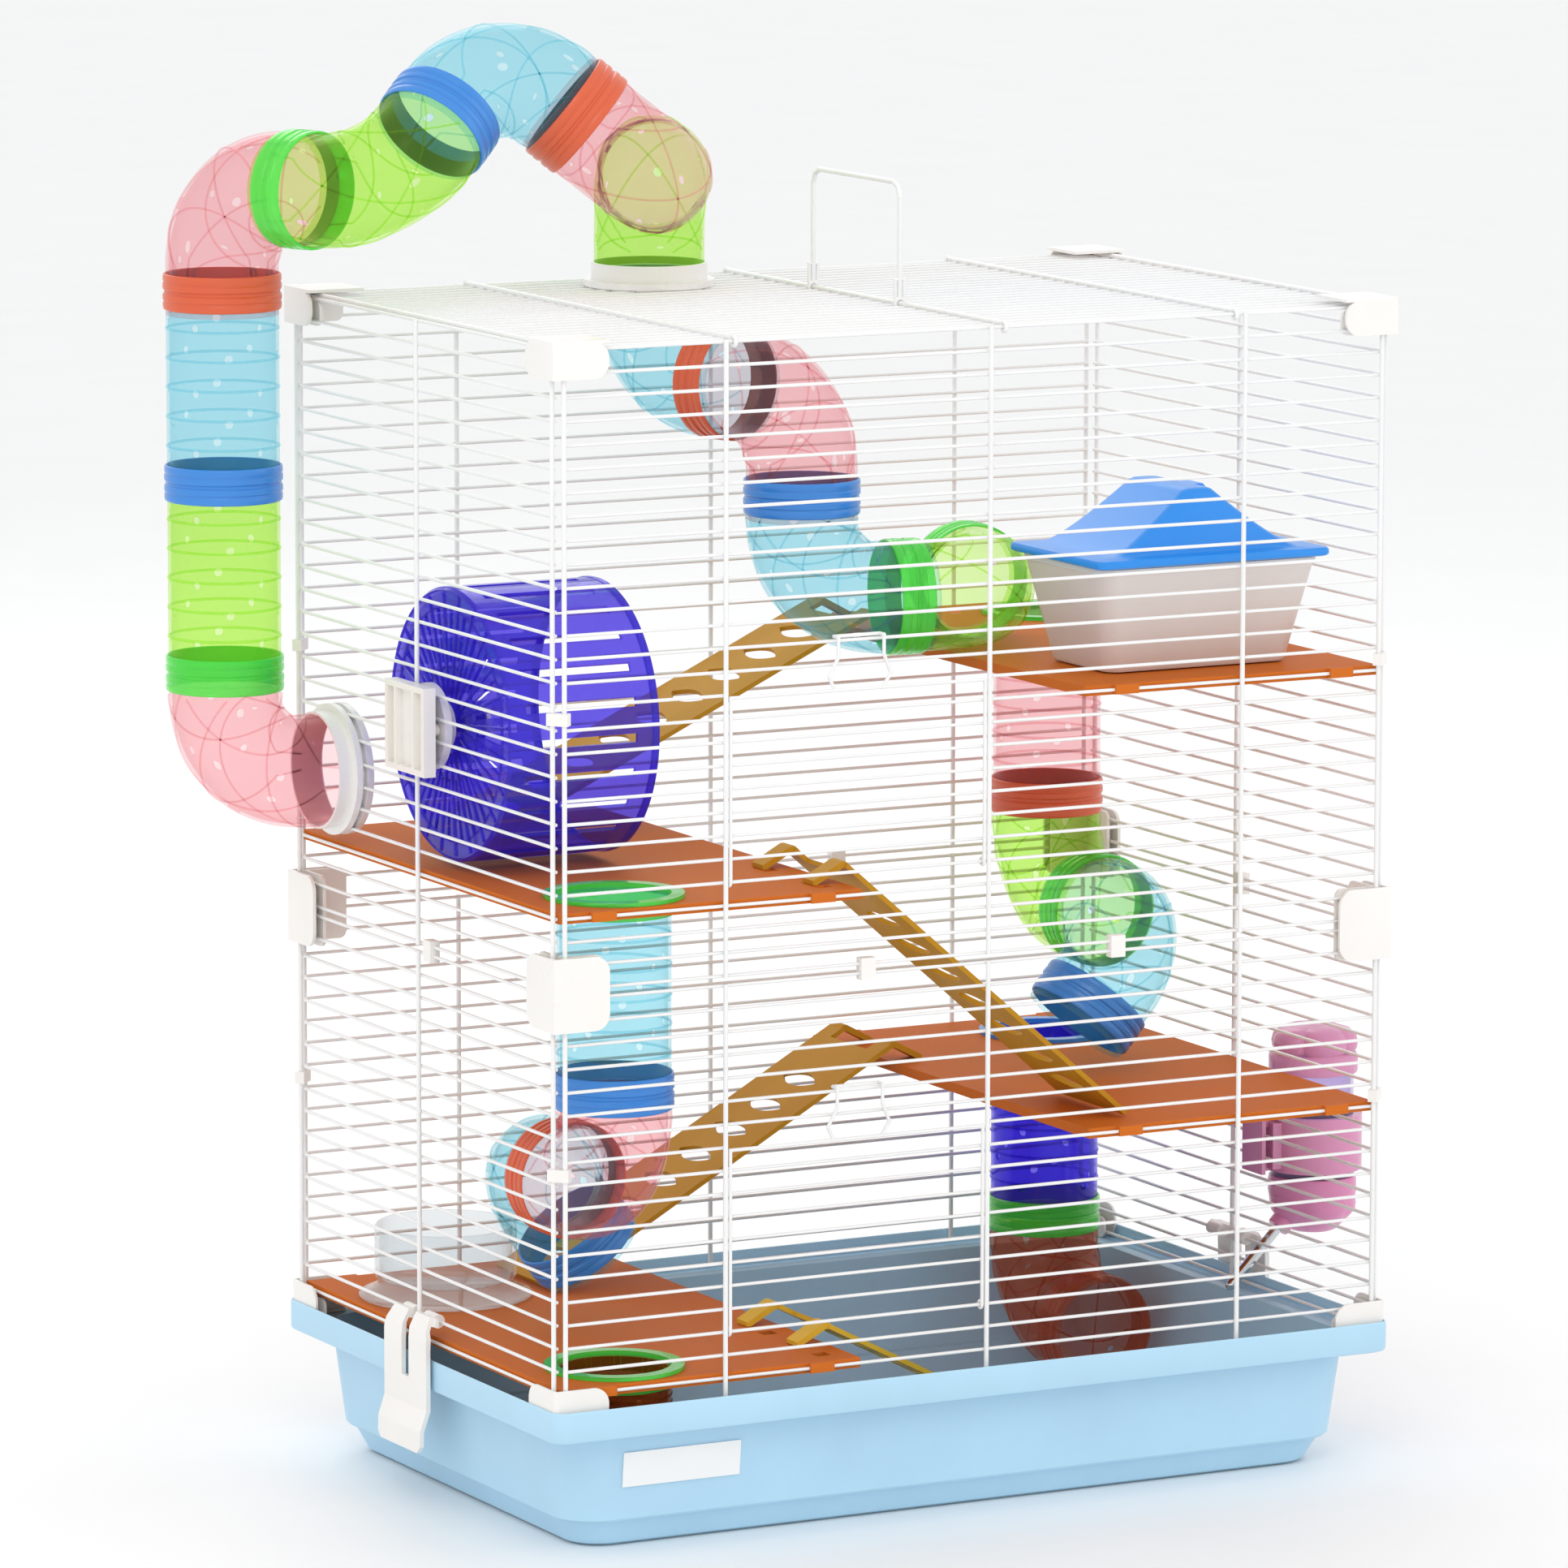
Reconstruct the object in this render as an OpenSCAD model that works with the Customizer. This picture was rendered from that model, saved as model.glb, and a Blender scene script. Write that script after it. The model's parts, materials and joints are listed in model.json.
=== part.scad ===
/* [Tray] */
// Length of the tray rim, left to right
tray_w = 470; // [460:1:500]
// Depth of the tray rim, front to back
tray_d = 309; // [304:1:330]
// Height of the tray rim above the table
tray_h = 75; // [70:1:95]
// Wall thickness of the tray
tray_wall = 2; // [1.6:0.2:3]

/* [Wire cage] */
// Half distance between the left and right wire walls
cage_x = 229.25; // [229:0.05:230]
// Half distance between the front and back wire walls
cage_y = 146.45; // [145.5:0.05:147]
// Diameter of the closely spaced wires
wire_d = 1.7; // [1.4:0.1:1.8]
// Diameter of the upright and cross wires
frame_d = 2.4; // [2:0.1:2.6]
// Distance between two close wires
pitch = 11.4; // [11.2:0.1:11.6]
// Number of close wires in a lower wall
lower_count = 19; // [19:1:19]
// Number of close wires in an upper wall
upper_count = 28; // [28:1:28]

/* [Doors] */
// Number of wire pitches that a door is high
door_pitches = 8; // [6:1:9]

/* [Tubes] */
// Outer radius of a clear tube
tube_r = 28; // [27:0.5:28.5]
// Wall thickness of a clear tube
tube_wall = 1.6; // [1.2:0.1:2]
// Distance from a joint to the corner of an elbow
elbow_reach = 53; // [52:1:54]
// Distance between the joints of a straight tube
straight_len = 95; // [92:1:96]

/* [Wheel] */
// Radius of the exercise wheel
wheel_r = 68; // [60:1:68]
// Width of the exercise wheel
wheel_w = 81; // [70:1:84]

/* [Hidden] */
$fn = 48;

wire_r = wire_d / 2;
frame_r = frame_d / 2;
weld = 0.3;
upright_gap = wire_r + frame_r - weld;
frame_y = cage_y + upright_gap;
frame_x = cage_x + upright_gap;
corner_x = 226.8;
corner_y = 143.9;
seam_low = 276;
seam_high = 280.8;
top_z = seam_high + pitch * (upper_count - 1);
top_cross_z = top_z + upright_gap - 0.15;
front_uprights = [-140, 5, 148];
left_upright = 5.5;
right_upright = -3;
top_cross_x = [-135, 13, 143];

function lower_z(k) = seam_low - pitch * k;
function upper_z(k) = seam_high + pitch * k;

// shelf levels: the wire that carries each shelf, and the top of its plate
shelf_rise = 2.5;
shelf_t = 2.2;
left_low_wire = lower_z(17);
right_low_wire = lower_z(8);
left_high_wire = upper_z(3);
right_high_wire = upper_z(11);
left_shelf_edge = -64;
right_shelf_edge = 64;
shelf_end = 228;
shelf_y = 145.3;

// doors: hinge wire of each
door_left = -137.4;
door_right = 2.4;
door_rod = 0.8;
door_loop = 1.73;
upper_hinge_z = upper_z(4);
lower_hinge_z = lower_z(15);
door_h = door_pitches * pitch;

// tube joints
X = [1, 0, 0];
Y = [0, 1, 0];
Z = [0, 0, 1];
ring_r = 29.25;
ring_len = 18;
bend_r = elbow_reach - 12;
left_hole = [-181, -109.5];
right_hole = [176, 98];
top_hole = [-54, 102];
joint_z = 597.5;
riser_x = -290.5;

// the outer run bridges from the top hole to the riser in four equal steps
swing = asin(((top_hole[0] - riser_x) / (2 * elbow_reach) - sqrt(2)) / 2);
climb = acos(1 / (sqrt(2) * cos(swing)));
out_dir = [-sin(swing), -cos(swing), 0];
rise_dir = [-cos(climb) * cos(swing), cos(climb) * sin(swing), sin(climb)];
fall_dir = [-cos(climb) * cos(swing), -cos(climb) * sin(swing), -sin(climb)];
back_dir = [-sin(swing), cos(swing), 0];
outer_0 = [top_hole[0], top_hole[1], joint_z];
outer_1 = outer_0 + elbow_reach * (Z + out_dir);
outer_2 = outer_1 + elbow_reach * (out_dir + rise_dir);
outer_3 = outer_2 + elbow_reach * (rise_dir + fall_dir);
outer_4 = outer_3 + elbow_reach * (fall_dir + back_dir);
outer_5 = outer_4 + elbow_reach * (back_dir - Z);
outer_6 = outer_5 - straight_len * Z;
outer_7 = outer_6 - straight_len * Z;
outer_8 = outer_7 + elbow_reach * (X - Z);
side_hole = [outer_8[1], outer_8[2]];

// inner run under the top hole
run_a_1_dir = [cos(-71), sin(-71), 0];
run_a_3_dir = [cos(-10), sin(-10), 0];
run_a_4_dir = [cos(80), sin(80), 0];
run_a_1 = outer_0 + elbow_reach * (run_a_1_dir - Z);
run_a_2 = run_a_1 + elbow_reach * (run_a_1_dir - Z);
run_a_3 = run_a_2 + elbow_reach * (run_a_3_dir - Z);
run_a_4 = run_a_3 + elbow_reach * (run_a_3_dir + run_a_4_dir);

// inner run under the high right shelf
run_b_dir = [-sin(40.5), 0, -cos(40.5)];
run_b_0 = [right_hole[0], right_hole[1], right_high_wire + shelf_rise];
run_b_1 = run_b_0 - straight_len * Z;
run_b_2 = run_b_1 + elbow_reach * (-Z - Y);
run_b_3 = run_b_2 + elbow_reach * (-Y + run_b_dir);

// inner run under the low right shelf
run_d_0 = [right_hole[0], right_hole[1], right_low_wire + shelf_rise];
run_d_1 = run_d_0 - straight_len * Z;
run_d_2 = run_d_1 + elbow_reach * (-Z - Y);

// inner run under the high left shelf
run_c_dir = [sin(37.6), 0, -cos(37.6)];
run_c_0 = [left_hole[0], left_hole[1], left_high_wire + shelf_rise];
run_c_1 = run_c_0 - straight_len * Z;
run_c_2 = run_c_1 + elbow_reach * (-Z + Y);
run_c_3 = run_c_2 + elbow_reach * (Y + run_c_dir);

// wheel
wheel_y = 1.5;
wheel_z = (upper_z(9) + upper_z(10)) / 2;
wheel_left = -215;

// bottle
bottle_x = 262;
bottle_y = -31;
spout_r = 2.7;
spout_z = (lower_z(16) + lower_z(17)) / 2;

// ---- helpers ----

// a wire along X, Y or Z between two places
module x_wire(x0, x1, y, z, r) { translate([x0, y, z]) rotate([0, 90, 0]) cylinder(r = r, h = x1 - x0); }
module y_wire(y0, y1, x, z, r) { translate([x, y0, z]) rotate([-90, 0, 0]) cylinder(r = r, h = y1 - y0); }
module z_wire(z0, z1, x, y, r) { translate([x, y, z0]) cylinder(r = r, h = z1 - z0); }

// a bent rod through a list of points, with a ball at each inner bend
module rod(points, r) {
    for (i = [0:len(points) - 2]) {
        step = points[i + 1] - points[i];
        along(points[i], step / norm(step)) cylinder(r = r, h = norm(step));
    }
    if (len(points) > 2) for (i = [1:len(points) - 2]) translate(points[i]) sphere(r = r + 0.08);
}

// turns +Z onto the direction d
module along(p, d) { translate(p) rotate([0, acos(d[2]), atan2(d[1], d[0])]) children(); }

// turns +Z onto a and +X onto b, which are square to each other
module framed(p, a, b) {
    n = cross(a, b);
    multmatrix([
        [b[0], n[0], a[0], p[0]],
        [b[1], n[1], a[1], p[1]],
        [b[2], n[2], a[2], p[2]],
        [0, 0, 0, 1]
    ]) children();
}

module pipe(r_out, r_in, h) {
    difference() {
        cylinder(r = r_out, h = h);
        translate([0, 0, -1]) cylinder(r = r_in, h = h + 2);
    }
}

// rounded rectangle, drawn from exact arcs
module round_slab(w, d, h, r) {
    linear_extrude(h) {
        square([w - 2 * r, d], center = true);
        square([w, d - 2 * r], center = true);
        for (i = [-1, 1], j = [-1, 1]) translate([i * (w / 2 - r), j * (d / 2 - r)]) circle(r);
    }
}

module tapered_block(w0, d0, w1, d1, z0, z1, r) {
    hull() {
        for (i = [-1, 1], j = [-1, 1]) {
            translate([i * (w0 / 2 - r), j * (d0 / 2 - r), z0]) cylinder(r = r, h = 0.2, $fn = 28);
            translate([i * (w1 / 2 - r), j * (d1 / 2 - r), z1 - 0.2]) cylinder(r = r, h = 0.2, $fn = 28);
        }
    }
}

// ---- tray ----

ledge_z = 67.5;
skirt_z = 59.4;
rim_t = 1;
tray_step_z = 15;

module tray() {
    color("lightskyblue") difference() {
        union() {
            translate([0, 0, skirt_z]) round_slab(tray_w, tray_d, tray_h - skirt_z, 7);
            tapered_block(436, 275, 446, 285, tray_step_z, skirt_z + 4, 22);
            tapered_block(420, 259, 429, 268, 0, tray_step_z + 1, 20);
        }
        translate([0, 0, ledge_z]) round_slab(tray_w - 2 * rim_t, tray_d - 2 * rim_t, 20, 6);
        translate([0, 0, skirt_z - 1]) difference() {
            round_slab(tray_w - 2 * rim_t, tray_d - 2 * rim_t, ledge_z - skirt_z - 1, 7);
            translate([0, 0, -1]) round_slab(446, 285, 20, 22);
        }
        tapered_block(432, 271, 442, 281, tray_step_z + tray_wall, ledge_z + 1, 20);
        tapered_block(416, 255, 425, 264, tray_wall + 0.5, tray_step_z + 4, 18);
    }
}

module tray_label() {
    lean = atan(5 / 48.4);
    color("gainsboro") translate([-192, -139.3, 32]) rotate([90 + lean, 0, 0])
        linear_extrude(0.8) square([64, 17.5]);
}

// ---- wire walls ----

// a front or back wall: side is -1 for the front and 1 for the back
module long_wall(side, z_of, count, z0, z1, uprights) {
    for (k = [0:count - 1]) x_wire(-corner_x, corner_x, side * cage_y, z_of[k], wire_r);
    for (x = concat([-corner_x], uprights, [corner_x])) z_wire(z0, z1, x, side * frame_y, frame_r);
}

module short_wall(side, z_of, count, z0, z1, upright) {
    for (k = [0:count - 1]) y_wire(-corner_y, corner_y, side * cage_x, z_of[k], wire_r);
    for (y = [-corner_y, upright, corner_y]) z_wire(z0, z1, side * frame_x, y, frame_r);
}

lower_levels = [for (k = [0:lower_count - 1]) lower_z(k)];
upper_levels = [for (k = [0:upper_count - 1]) upper_z(k)];
wall_foot = lower_z(lower_count - 1) - frame_r;
wall_head = top_z + 1;

// clears the close wires behind a door
module door_gap(hinge_z) {
    translate([-140, -cage_y - 1.05, hinge_z + pitch / 2])
        cube([145, 4, door_h]);
}

module front_lower_panel() {
    color("white") difference() {
        long_wall(-1, lower_levels, lower_count, wall_foot, seam_low + wire_r, front_uprights);
        door_gap(lower_hinge_z);
    }
}

module front_upper_panel() {
    color("white") difference() {
        long_wall(-1, upper_levels, upper_count, seam_high - wire_r, wall_head, front_uprights);
        door_gap(upper_hinge_z);
    }
}

module back_lower_panel() {
    color("white") long_wall(1, lower_levels, lower_count, wall_foot, seam_low + wire_r, front_uprights);
}

module back_upper_panel() {
    color("white") long_wall(1, upper_levels, upper_count, seam_high - wire_r, wall_head, front_uprights);
}

module left_lower_panel() {
    color("white") short_wall(-1, lower_levels, lower_count, wall_foot, seam_low + wire_r, left_upright);
}

module left_upper_panel() {
    color("white") difference() {
        short_wall(-1, upper_levels, upper_count, seam_high - wire_r, wall_head, left_upright);
        translate([-cage_x - 6, side_hole[0], side_hole[1]]) rotate([0, 90, 0])
            cylinder(r = ring_r + 1, h = 12);
    }
}

module right_lower_panel() {
    color("white") short_wall(1, lower_levels, lower_count, wall_foot, seam_low + wire_r, right_upright);
}

module right_upper_panel() {
    color("white") short_wall(1, upper_levels, upper_count, seam_high - wire_r, wall_head, right_upright);
}

// the top: close wires along X, cross wires along Y that end in eyes round the wall wires
module top_panel() {
    half = 12;
    color("white") difference() {
        union() {
            for (k = [-half:half]) x_wire(-corner_x, corner_x, k * pitch, top_z, wire_r);
            for (x = top_cross_x) y_wire(-corner_y - 0.6, corner_y + 0.6, x, top_cross_z, frame_r);
            for (x = [-corner_x, corner_x])
                y_wire(-half * pitch - 3, half * pitch + 3, x, top_cross_z, frame_r);
            for (x = top_cross_x, side = [-1, 1])
                translate([x, side * cage_y, top_z]) rotate([0, 90, 0]) rotate_extrude()
                    translate([2.1, 0]) circle(r = 1.1);
        }
        translate([top_hole[0], top_hole[1], top_z - 6]) cylinder(r = ring_r + 1, h = 12);
    }
}

// ---- corner fittings ----

plate_t = 1.7;
plate_gap = 0.25;
corner_out_x = frame_x + frame_r + plate_gap;
corner_out_y = frame_y + frame_r + plate_gap;
corner_in_x = cage_x - wire_r - plate_gap;
corner_in_y = cage_y - wire_r - plate_gap;

// outline of one arm: square at the corner, round at its far end
module arm_outline(len, h, r) {
    square([len - r, h]);
    translate([0, r]) square([len, h - 2 * r]);
    translate([len - r, r]) circle(r);
    translate([len - r, h - r]) circle(r);
}

// the front left corner fitting, with its outer corner at the origin of x and y
module corner_shell(z0, h, arm, r, t, h_in) {
    // outer plates along X and Y
    translate([-corner_out_x - t, -corner_out_y, z0]) rotate([90, 0, 0])
        linear_extrude(t) arm_outline(arm, h, r);
    translate([-corner_out_x, -corner_out_y - t, z0]) rotate([90, 0, -90]) mirror([1, 0, 0])
        linear_extrude(t) arm_outline(arm, h, r);
    // inner plates
    translate([-corner_in_x, -corner_in_y + t, z0]) rotate([90, 0, 0])
        linear_extrude(t) arm_outline(arm - 7, h_in, r / 2);
    translate([-corner_in_x + t, -corner_in_y, z0]) rotate([90, 0, -90]) mirror([1, 0, 0])
        linear_extrude(t) arm_outline(arm - 7, h_in, r / 2);
}

// the web that joins the inner plates to the outer ones, between the two corner uprights
module corner_web(z0, h) {
    translate([-corner_out_x - 0.6, -corner_out_y - 0.6, z0]) rotate([0, 0, 45])
        translate([0, -0.9, 0]) cube([8.6, 1.8, h]);
}

module four_corners() {
    for (i = [0, 1], j = [0, 1]) mirror([i, 0, 0]) mirror([0, j, 0]) children();
}

module top_corner_caps() {
    cap_z = 574.7;
    cap_h = 592.4 - cap_z;
    color("ivory") four_corners() {
        corner_shell(cap_z, cap_h, 30, 8, plate_t, 12.4);
        corner_web(cap_z, 12.4);
        translate([-corner_out_x - plate_t, -corner_out_y - plate_t, top_cross_z + frame_r + 0.3])
            cube([30, 30, 1.5]);
    }
}

module seam_corner_clamps() {
    color("ivory") four_corners() {
        corner_shell(260.4, 36.2, 30, 8, plate_t, 36.2);
        corner_web(264, 29);
    }
}

module base_corner_feet() {
    foot_z = ledge_z + 0.3;
    color("ivory") four_corners() difference() {
        union() {
            corner_shell(foot_z, 85.3 - foot_z, 29, 8, 1.2, 11);
            corner_web(foot_z, 11);
            translate([-corner_out_x - 1.2, -corner_out_y - 1.2, foot_z]) cube([26, 9, 1.2]);
        }
        // the outer edge is cut flat to clear the rounded corner of the rim
        translate([-corner_out_x - 1.2, -corner_out_y - 1.2, foot_z - 1]) rotate([0, 0, 45])
            translate([-5, -5, 0]) cube([6.41, 10, 22]);
    }
}

// a strap round the two uprights of a corner, set between two close wires
module edge_clips() {
    clip_h = 6;
    mid = [-(corner_x + frame_x) / 2, -(corner_y + frame_y) / 2];
    turn = atan2(frame_y - corner_y, corner_x - frame_x);
    span = norm([frame_x - corner_x, frame_y - corner_y]);
    color("ivory") four_corners() for (z = [(upper_z(11) + upper_z(12)) / 2, (lower_z(7) + lower_z(8)) / 2])
        difference() {
            translate([mid[0], mid[1], z - clip_h / 2]) rotate([0, 0, turn])
                translate([-span / 2 - 2.4, -2.4, 0]) cube([span + 4.8, 4.8, clip_h]);
            z_wire(z - clip_h, z + clip_h, -corner_x, -frame_y, frame_r + 0.05);
            z_wire(z - clip_h, z + clip_h, -frame_x, -corner_y, frame_r + 0.05);
        }
}

// a block clipped over the two wires of the seam
module seam_clip_x(x, y) {
    difference() {
        translate([x - 4, y - 2.6, seam_low - 3]) cube([8, 5.2, seam_high - seam_low + 6]);
        for (z = [seam_low, seam_high]) x_wire(x - 6, x + 6, y, z, wire_r + 0.05);
    }
}

module seam_clip_y(x, y) {
    difference() {
        translate([x - 2.6, y - 4, seam_low - 3]) cube([5.2, 8, seam_high - seam_low + 6]);
        for (z = [seam_low, seam_high]) y_wire(y - 6, y + 6, x, z, wire_r + 0.05);
    }
}

module seam_clips() {
    color("ivory") {
        for (x = [-62, 78], side = [-1, 1]) seam_clip_x(x, side * cage_y);
        seam_clip_y(-cage_x, -6);
        seam_clip_y(cage_x, -12);
    }
}

// ---- doors ----

// the spring latch: two bent rods joined by a bar that rests on the latch wire
module latch(z) {
    r = 0.9;
    mid = (door_left + door_right) / 2;
    out_y = -frame_y - 2.4;
    bar_z = z + 2 * pitch + 1.2 + wire_r + r + 0.35;
    bar_y = -cage_y + 0.4;
    for (s = [-1, 1]) rod([
        [mid + s * 13.2, -frame_y, z],
        [mid + s * 17, -frame_y - 1.2, z + 7],
        [mid + s * 12.5, out_y, z + 16.5],
        [mid + s * 12.5, out_y, bar_z],
        [mid + s * 12.5, bar_y, bar_z],
        [mid + s * 1, bar_y, bar_z]
    ], r);
    x_wire(mid - 2, mid + 2, bar_y, bar_z, r + 0.1);
}

module door(hinge_z) {
    head = hinge_z + door_h - 1.2;
    side_r = 0.9;
    color("white") {
        for (x = [door_left, door_right])
            translate([x, -cage_y, hinge_z]) rotate([0, 90, 0]) rotate_extrude()
                translate([door_loop, 0]) circle(r = door_rod);
        rod([
            [door_left, -frame_y, hinge_z + 0.4],
            [door_left, -frame_y, head],
            [door_right, -frame_y, head],
            [door_right, -frame_y, hinge_z + 0.4]
        ], side_r);
        for (k = [1:door_pitches - 1])
            x_wire(door_left, door_right, -frame_y + 1.4, hinge_z + k * pitch, door_rod);
        latch(head);
    }
}

module upper_door() { door(upper_hinge_z); }
module lower_door() { door(lower_hinge_z); }

// ---- carry handle ----

handle_y = [-3.5 * pitch, 4.5 * pitch];
handle_top = 650;
handle_rod = 1.3;
handle_eye = 2.38;
handle_bend = 7;

module carry_handle() {
    x = top_cross_x[1];
    color("white") {
        for (y = handle_y) {
            translate([x, y, top_cross_z]) rotate([90, 0, 0]) rotate_extrude()
                translate([handle_eye, 0]) circle(r = 1.1);
            rod([
                [x - handle_eye, y, top_cross_z + 0.5],
                [x - handle_eye, y, 602],
                [x + handle_eye, y, 602],
                [x + handle_eye, y, top_cross_z + 0.5]
            ], 0.9);
        }
        rod([
            [x, handle_y[0], top_cross_z + handle_eye - 0.3],
            [x, handle_y[0], handle_top - handle_bend],
            [x, handle_y[0] + handle_bend * 0.3, handle_top - handle_bend * 0.3],
            [x, handle_y[0] + handle_bend, handle_top],
            [x, handle_y[1] - handle_bend, handle_top],
            [x, handle_y[1] - handle_bend * 0.3, handle_top - handle_bend * 0.3],
            [x, handle_y[1], handle_top - handle_bend],
            [x, handle_y[1], top_cross_z + handle_eye - 0.3]
        ], handle_rod);
    }
}

// ---- tray clips ----

clip_wire_z = lower_z(16);
clip_half = 24;

// the left clip seen along Y: over the wire, down outside the rim, flared at the foot
module clip_profile() {
    polygon([
        [-232, clip_wire_z + 2.5], [-235, clip_wire_z + 3], [-238.6, clip_wire_z - 4], [-239.2, 84],
        [-239.2, 50], [-242.6, 40], [-243, 29], [-240.8, 29], [-240.4, 39.6], [-236.8, 50], [-236.8, 80],
        [-236.4, clip_wire_z - 4], [-235.2, clip_wire_z - 1.5], [-232, clip_wire_z - 2.2]
    ]);
}

module tray_clip(slot_y) {
    color("ivory") difference() {
        union() {
            translate([0, slot_y + clip_half, 0]) rotate([90, 0, 0])
                linear_extrude(2 * clip_half) clip_profile();
            for (y = [slot_y + 6, slot_y - 18]) translate([-cage_x, y, clip_wire_z]) rotate([-90, 0, 0])
                cylinder(r = 3.4, h = 12);
        }
        // slot for the upright wire
        translate([-245, slot_y - 4, 64]) cube([20, 8, 40]);
        y_wire(slot_y - 30, slot_y + 30, -cage_x, clip_wire_z, wire_r + 0.06);
        // slopes that leave two narrow arms at the top and a rounded tongue at the foot
        for (s = [-1, 1]) translate([-230, slot_y + s * (clip_half + 1), 103]) rotate([s * 21, 0, 0])
            translate([-20, s > 0 ? -7 : -13, -26]) cube([16.4, 20, 40]);
        for (s = [-1, 1]) translate([-250, slot_y + s * 29, 26]) rotate([45, 0, 0])
            translate([0, -8, -8]) cube([16, 16, 16]);
    }
}

module left_tray_clip() { tray_clip(left_upright); }
module right_tray_clip() { mirror([1, 0, 0]) tray_clip(right_upright); }

// ---- shelves ----

hook_slots = [-130, -74];

module shelf(x0, x1, wire_z, hole) {
    top = wire_z + shelf_rise;
    lip = 5;
    tab = 13;
    color("darkorange") difference() {
        union() {
            translate([x0, -shelf_y, top - shelf_t]) cube([x1 - x0, 2 * shelf_y, shelf_t]);
            for (y = [-shelf_y, shelf_y - 1.8]) translate([x0, y, top - lip]) cube([x1 - x0, 1.8, lip]);
            for (x = [x0, x1 - 1.8]) translate([x, -shelf_y, top - lip]) cube([1.8, 2 * shelf_y, lip]);
            for (x = [x0 + 16, x1 - 16 - tab], y = [-shelf_y - 3.2, shelf_y - 1])
                translate([x, y, wire_z - 2.2]) cube([tab, 4.2, top - wire_z + 2.2]);
        }
        for (side = [-1, 1]) x_wire(x0 - 1, x1 + 1, side * cage_y, wire_z, wire_r + 0.06);
        if (len(hole) > 0) translate([hole[0], hole[1], top - 10]) cylinder(r = ring_r + 0.4, h = 20);
        if (len(hole) > 2) for (y = hole[2]) translate([x1 - 18, y - 4, top - 5]) cube([8, 8, 10]);
    }
}

module left_low_shelf() {
    shelf(-shelf_end, left_shelf_edge, left_low_wire, concat(left_hole, [hook_slots]));
}

module right_low_shelf() { shelf(right_shelf_edge, shelf_end, right_low_wire, right_hole); }
module left_high_shelf() {
    shelf(-shelf_end, left_shelf_edge, left_high_wire, concat(left_hole, [hook_slots]));
}

module right_high_shelf() { shelf(right_shelf_edge - 4, shelf_end, right_high_wire, right_hole); }

// a flanged sleeve that holds a tube in a shelf hole
module hole_ring(at, wire_z) {
    top = wire_z + shelf_rise;
    translate([at[0], at[1], top + 0.1]) pipe(34.5, tube_r + 0.05, 2);
    translate([at[0], at[1], top - 8]) pipe(ring_r + 0.2, tube_r + 0.05, 9);
}

module green_hole_rings() {
    color("limegreen") {
        hole_ring(left_hole, left_low_wire);
        hole_ring(left_hole, left_high_wire);
        hole_ring(right_hole, right_high_wire);
    }
}

module blue_hole_ring() { color("royalblue") hole_ring(right_hole, right_low_wire); }

// ---- ladders ----

ladder_w = 66;
ladder_t = 2.4;
rail_w = 13;
hook_rise = 8;

// eye shaped opening between two rungs
module eye(len, w) {
    n = 16;
    upper = [for (i = [0:n]) [len * (i / n - 0.5), w / 2 * (1 - pow(2 * i / n - 1, 2)) + 0.3]];
    lower = [for (i = [0:n]) [len * (0.5 - i / n), -w / 2 * (1 - pow(2 * i / n - 1, 2)) - 0.3]];
    polygon(concat(upper, lower));
}

// a hook that comes down behind the shelf edge
module hook_profile(run, rise, top) {
    polygon([
        [run - 3, top - 0.8], [run - 3, top + 1], [run - 0.6, top + 2.9], [run + 1.4, top + 2.8],
        [run + 17, rise + 2.4], [run + 17, rise + 0.3], [run + 14.8, rise + 0.3], [run + 1, top - 0.4]
    ]);
}

// a ladder that climbs along +X from the origin to a shelf edge at [run, rise]
module ladder(run, rise) {
    top = rise + hook_rise;
    slope = atan2(top, run);
    length = norm([run, top]);
    eyes = floor((length - 24) / 23);
    difference() {
        union() {
            rotate([0, -slope, 0]) difference() {
                translate([2, 0, 0]) cube([length - 2, ladder_w, ladder_t]);
                for (i = [0:eyes - 1]) translate([22 + 23 * i, ladder_w / 2, -1]) rotate([0, 0, 90])
                    linear_extrude(ladder_t + 2) eye(ladder_w - 2 * rail_w - 6, 10.5);
                translate([length - 9, rail_w, -5]) cube([12, ladder_w - 2 * rail_w, 12]);
            }
            for (y = [0, ladder_w - rail_w]) translate([0, y + rail_w - 0.8, 0]) rotate([90, 0, 0])
                linear_extrude(rail_w - 1.6) hook_profile(run, rise, top);
        }
        translate([-10, -1, -9.7]) cube([30, ladder_w + 2, 10]);
    }
}

floor_z = tray_wall + 0.5;

module tray_ladder() {
    color("gold") translate([110, -112, floor_z]) mirror([1, 0, 0])
        ladder(110 - left_shelf_edge, left_low_wire + shelf_rise - floor_z);
}

module left_ladder() {
    color("goldenrod") translate([-132, 57, left_low_wire + shelf_rise])
        ladder(132 + right_shelf_edge, right_low_wire - left_low_wire);
}

module middle_ladder() {
    color("goldenrod") translate([96, -128, right_low_wire + shelf_rise]) mirror([1, 0, 0])
        ladder(96 - left_shelf_edge, left_high_wire - right_low_wire);
}

module upper_ladder() {
    color("goldenrod") translate([-153, 74, left_high_wire + shelf_rise])
        ladder(153 + right_shelf_edge - 4, right_high_wire - left_high_wire);
}

// ---- exercise wheel ----

axle_r = 4;

module wheel_bracket() {
    z = wheel_z;
    color("ivory") {
        difference() {
            translate([-240, wheel_y - 22, z - 22]) cube([240 - 233.5, 44, 44]);
            translate([-241, wheel_y - 19, z - 19]) cube([4.4, 38, 38]);
        }
        for (dy = [-10, 10]) translate([-240.5, wheel_y + dy - 0.8, z - 20]) cube([4.5, 1.6, 40]);
        for (dy = [-13, 13]) translate([-236, wheel_y + dy, z]) rotate([0, 90, 0]) cylinder(r = 3, h = 7.7);
    }
}

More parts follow.
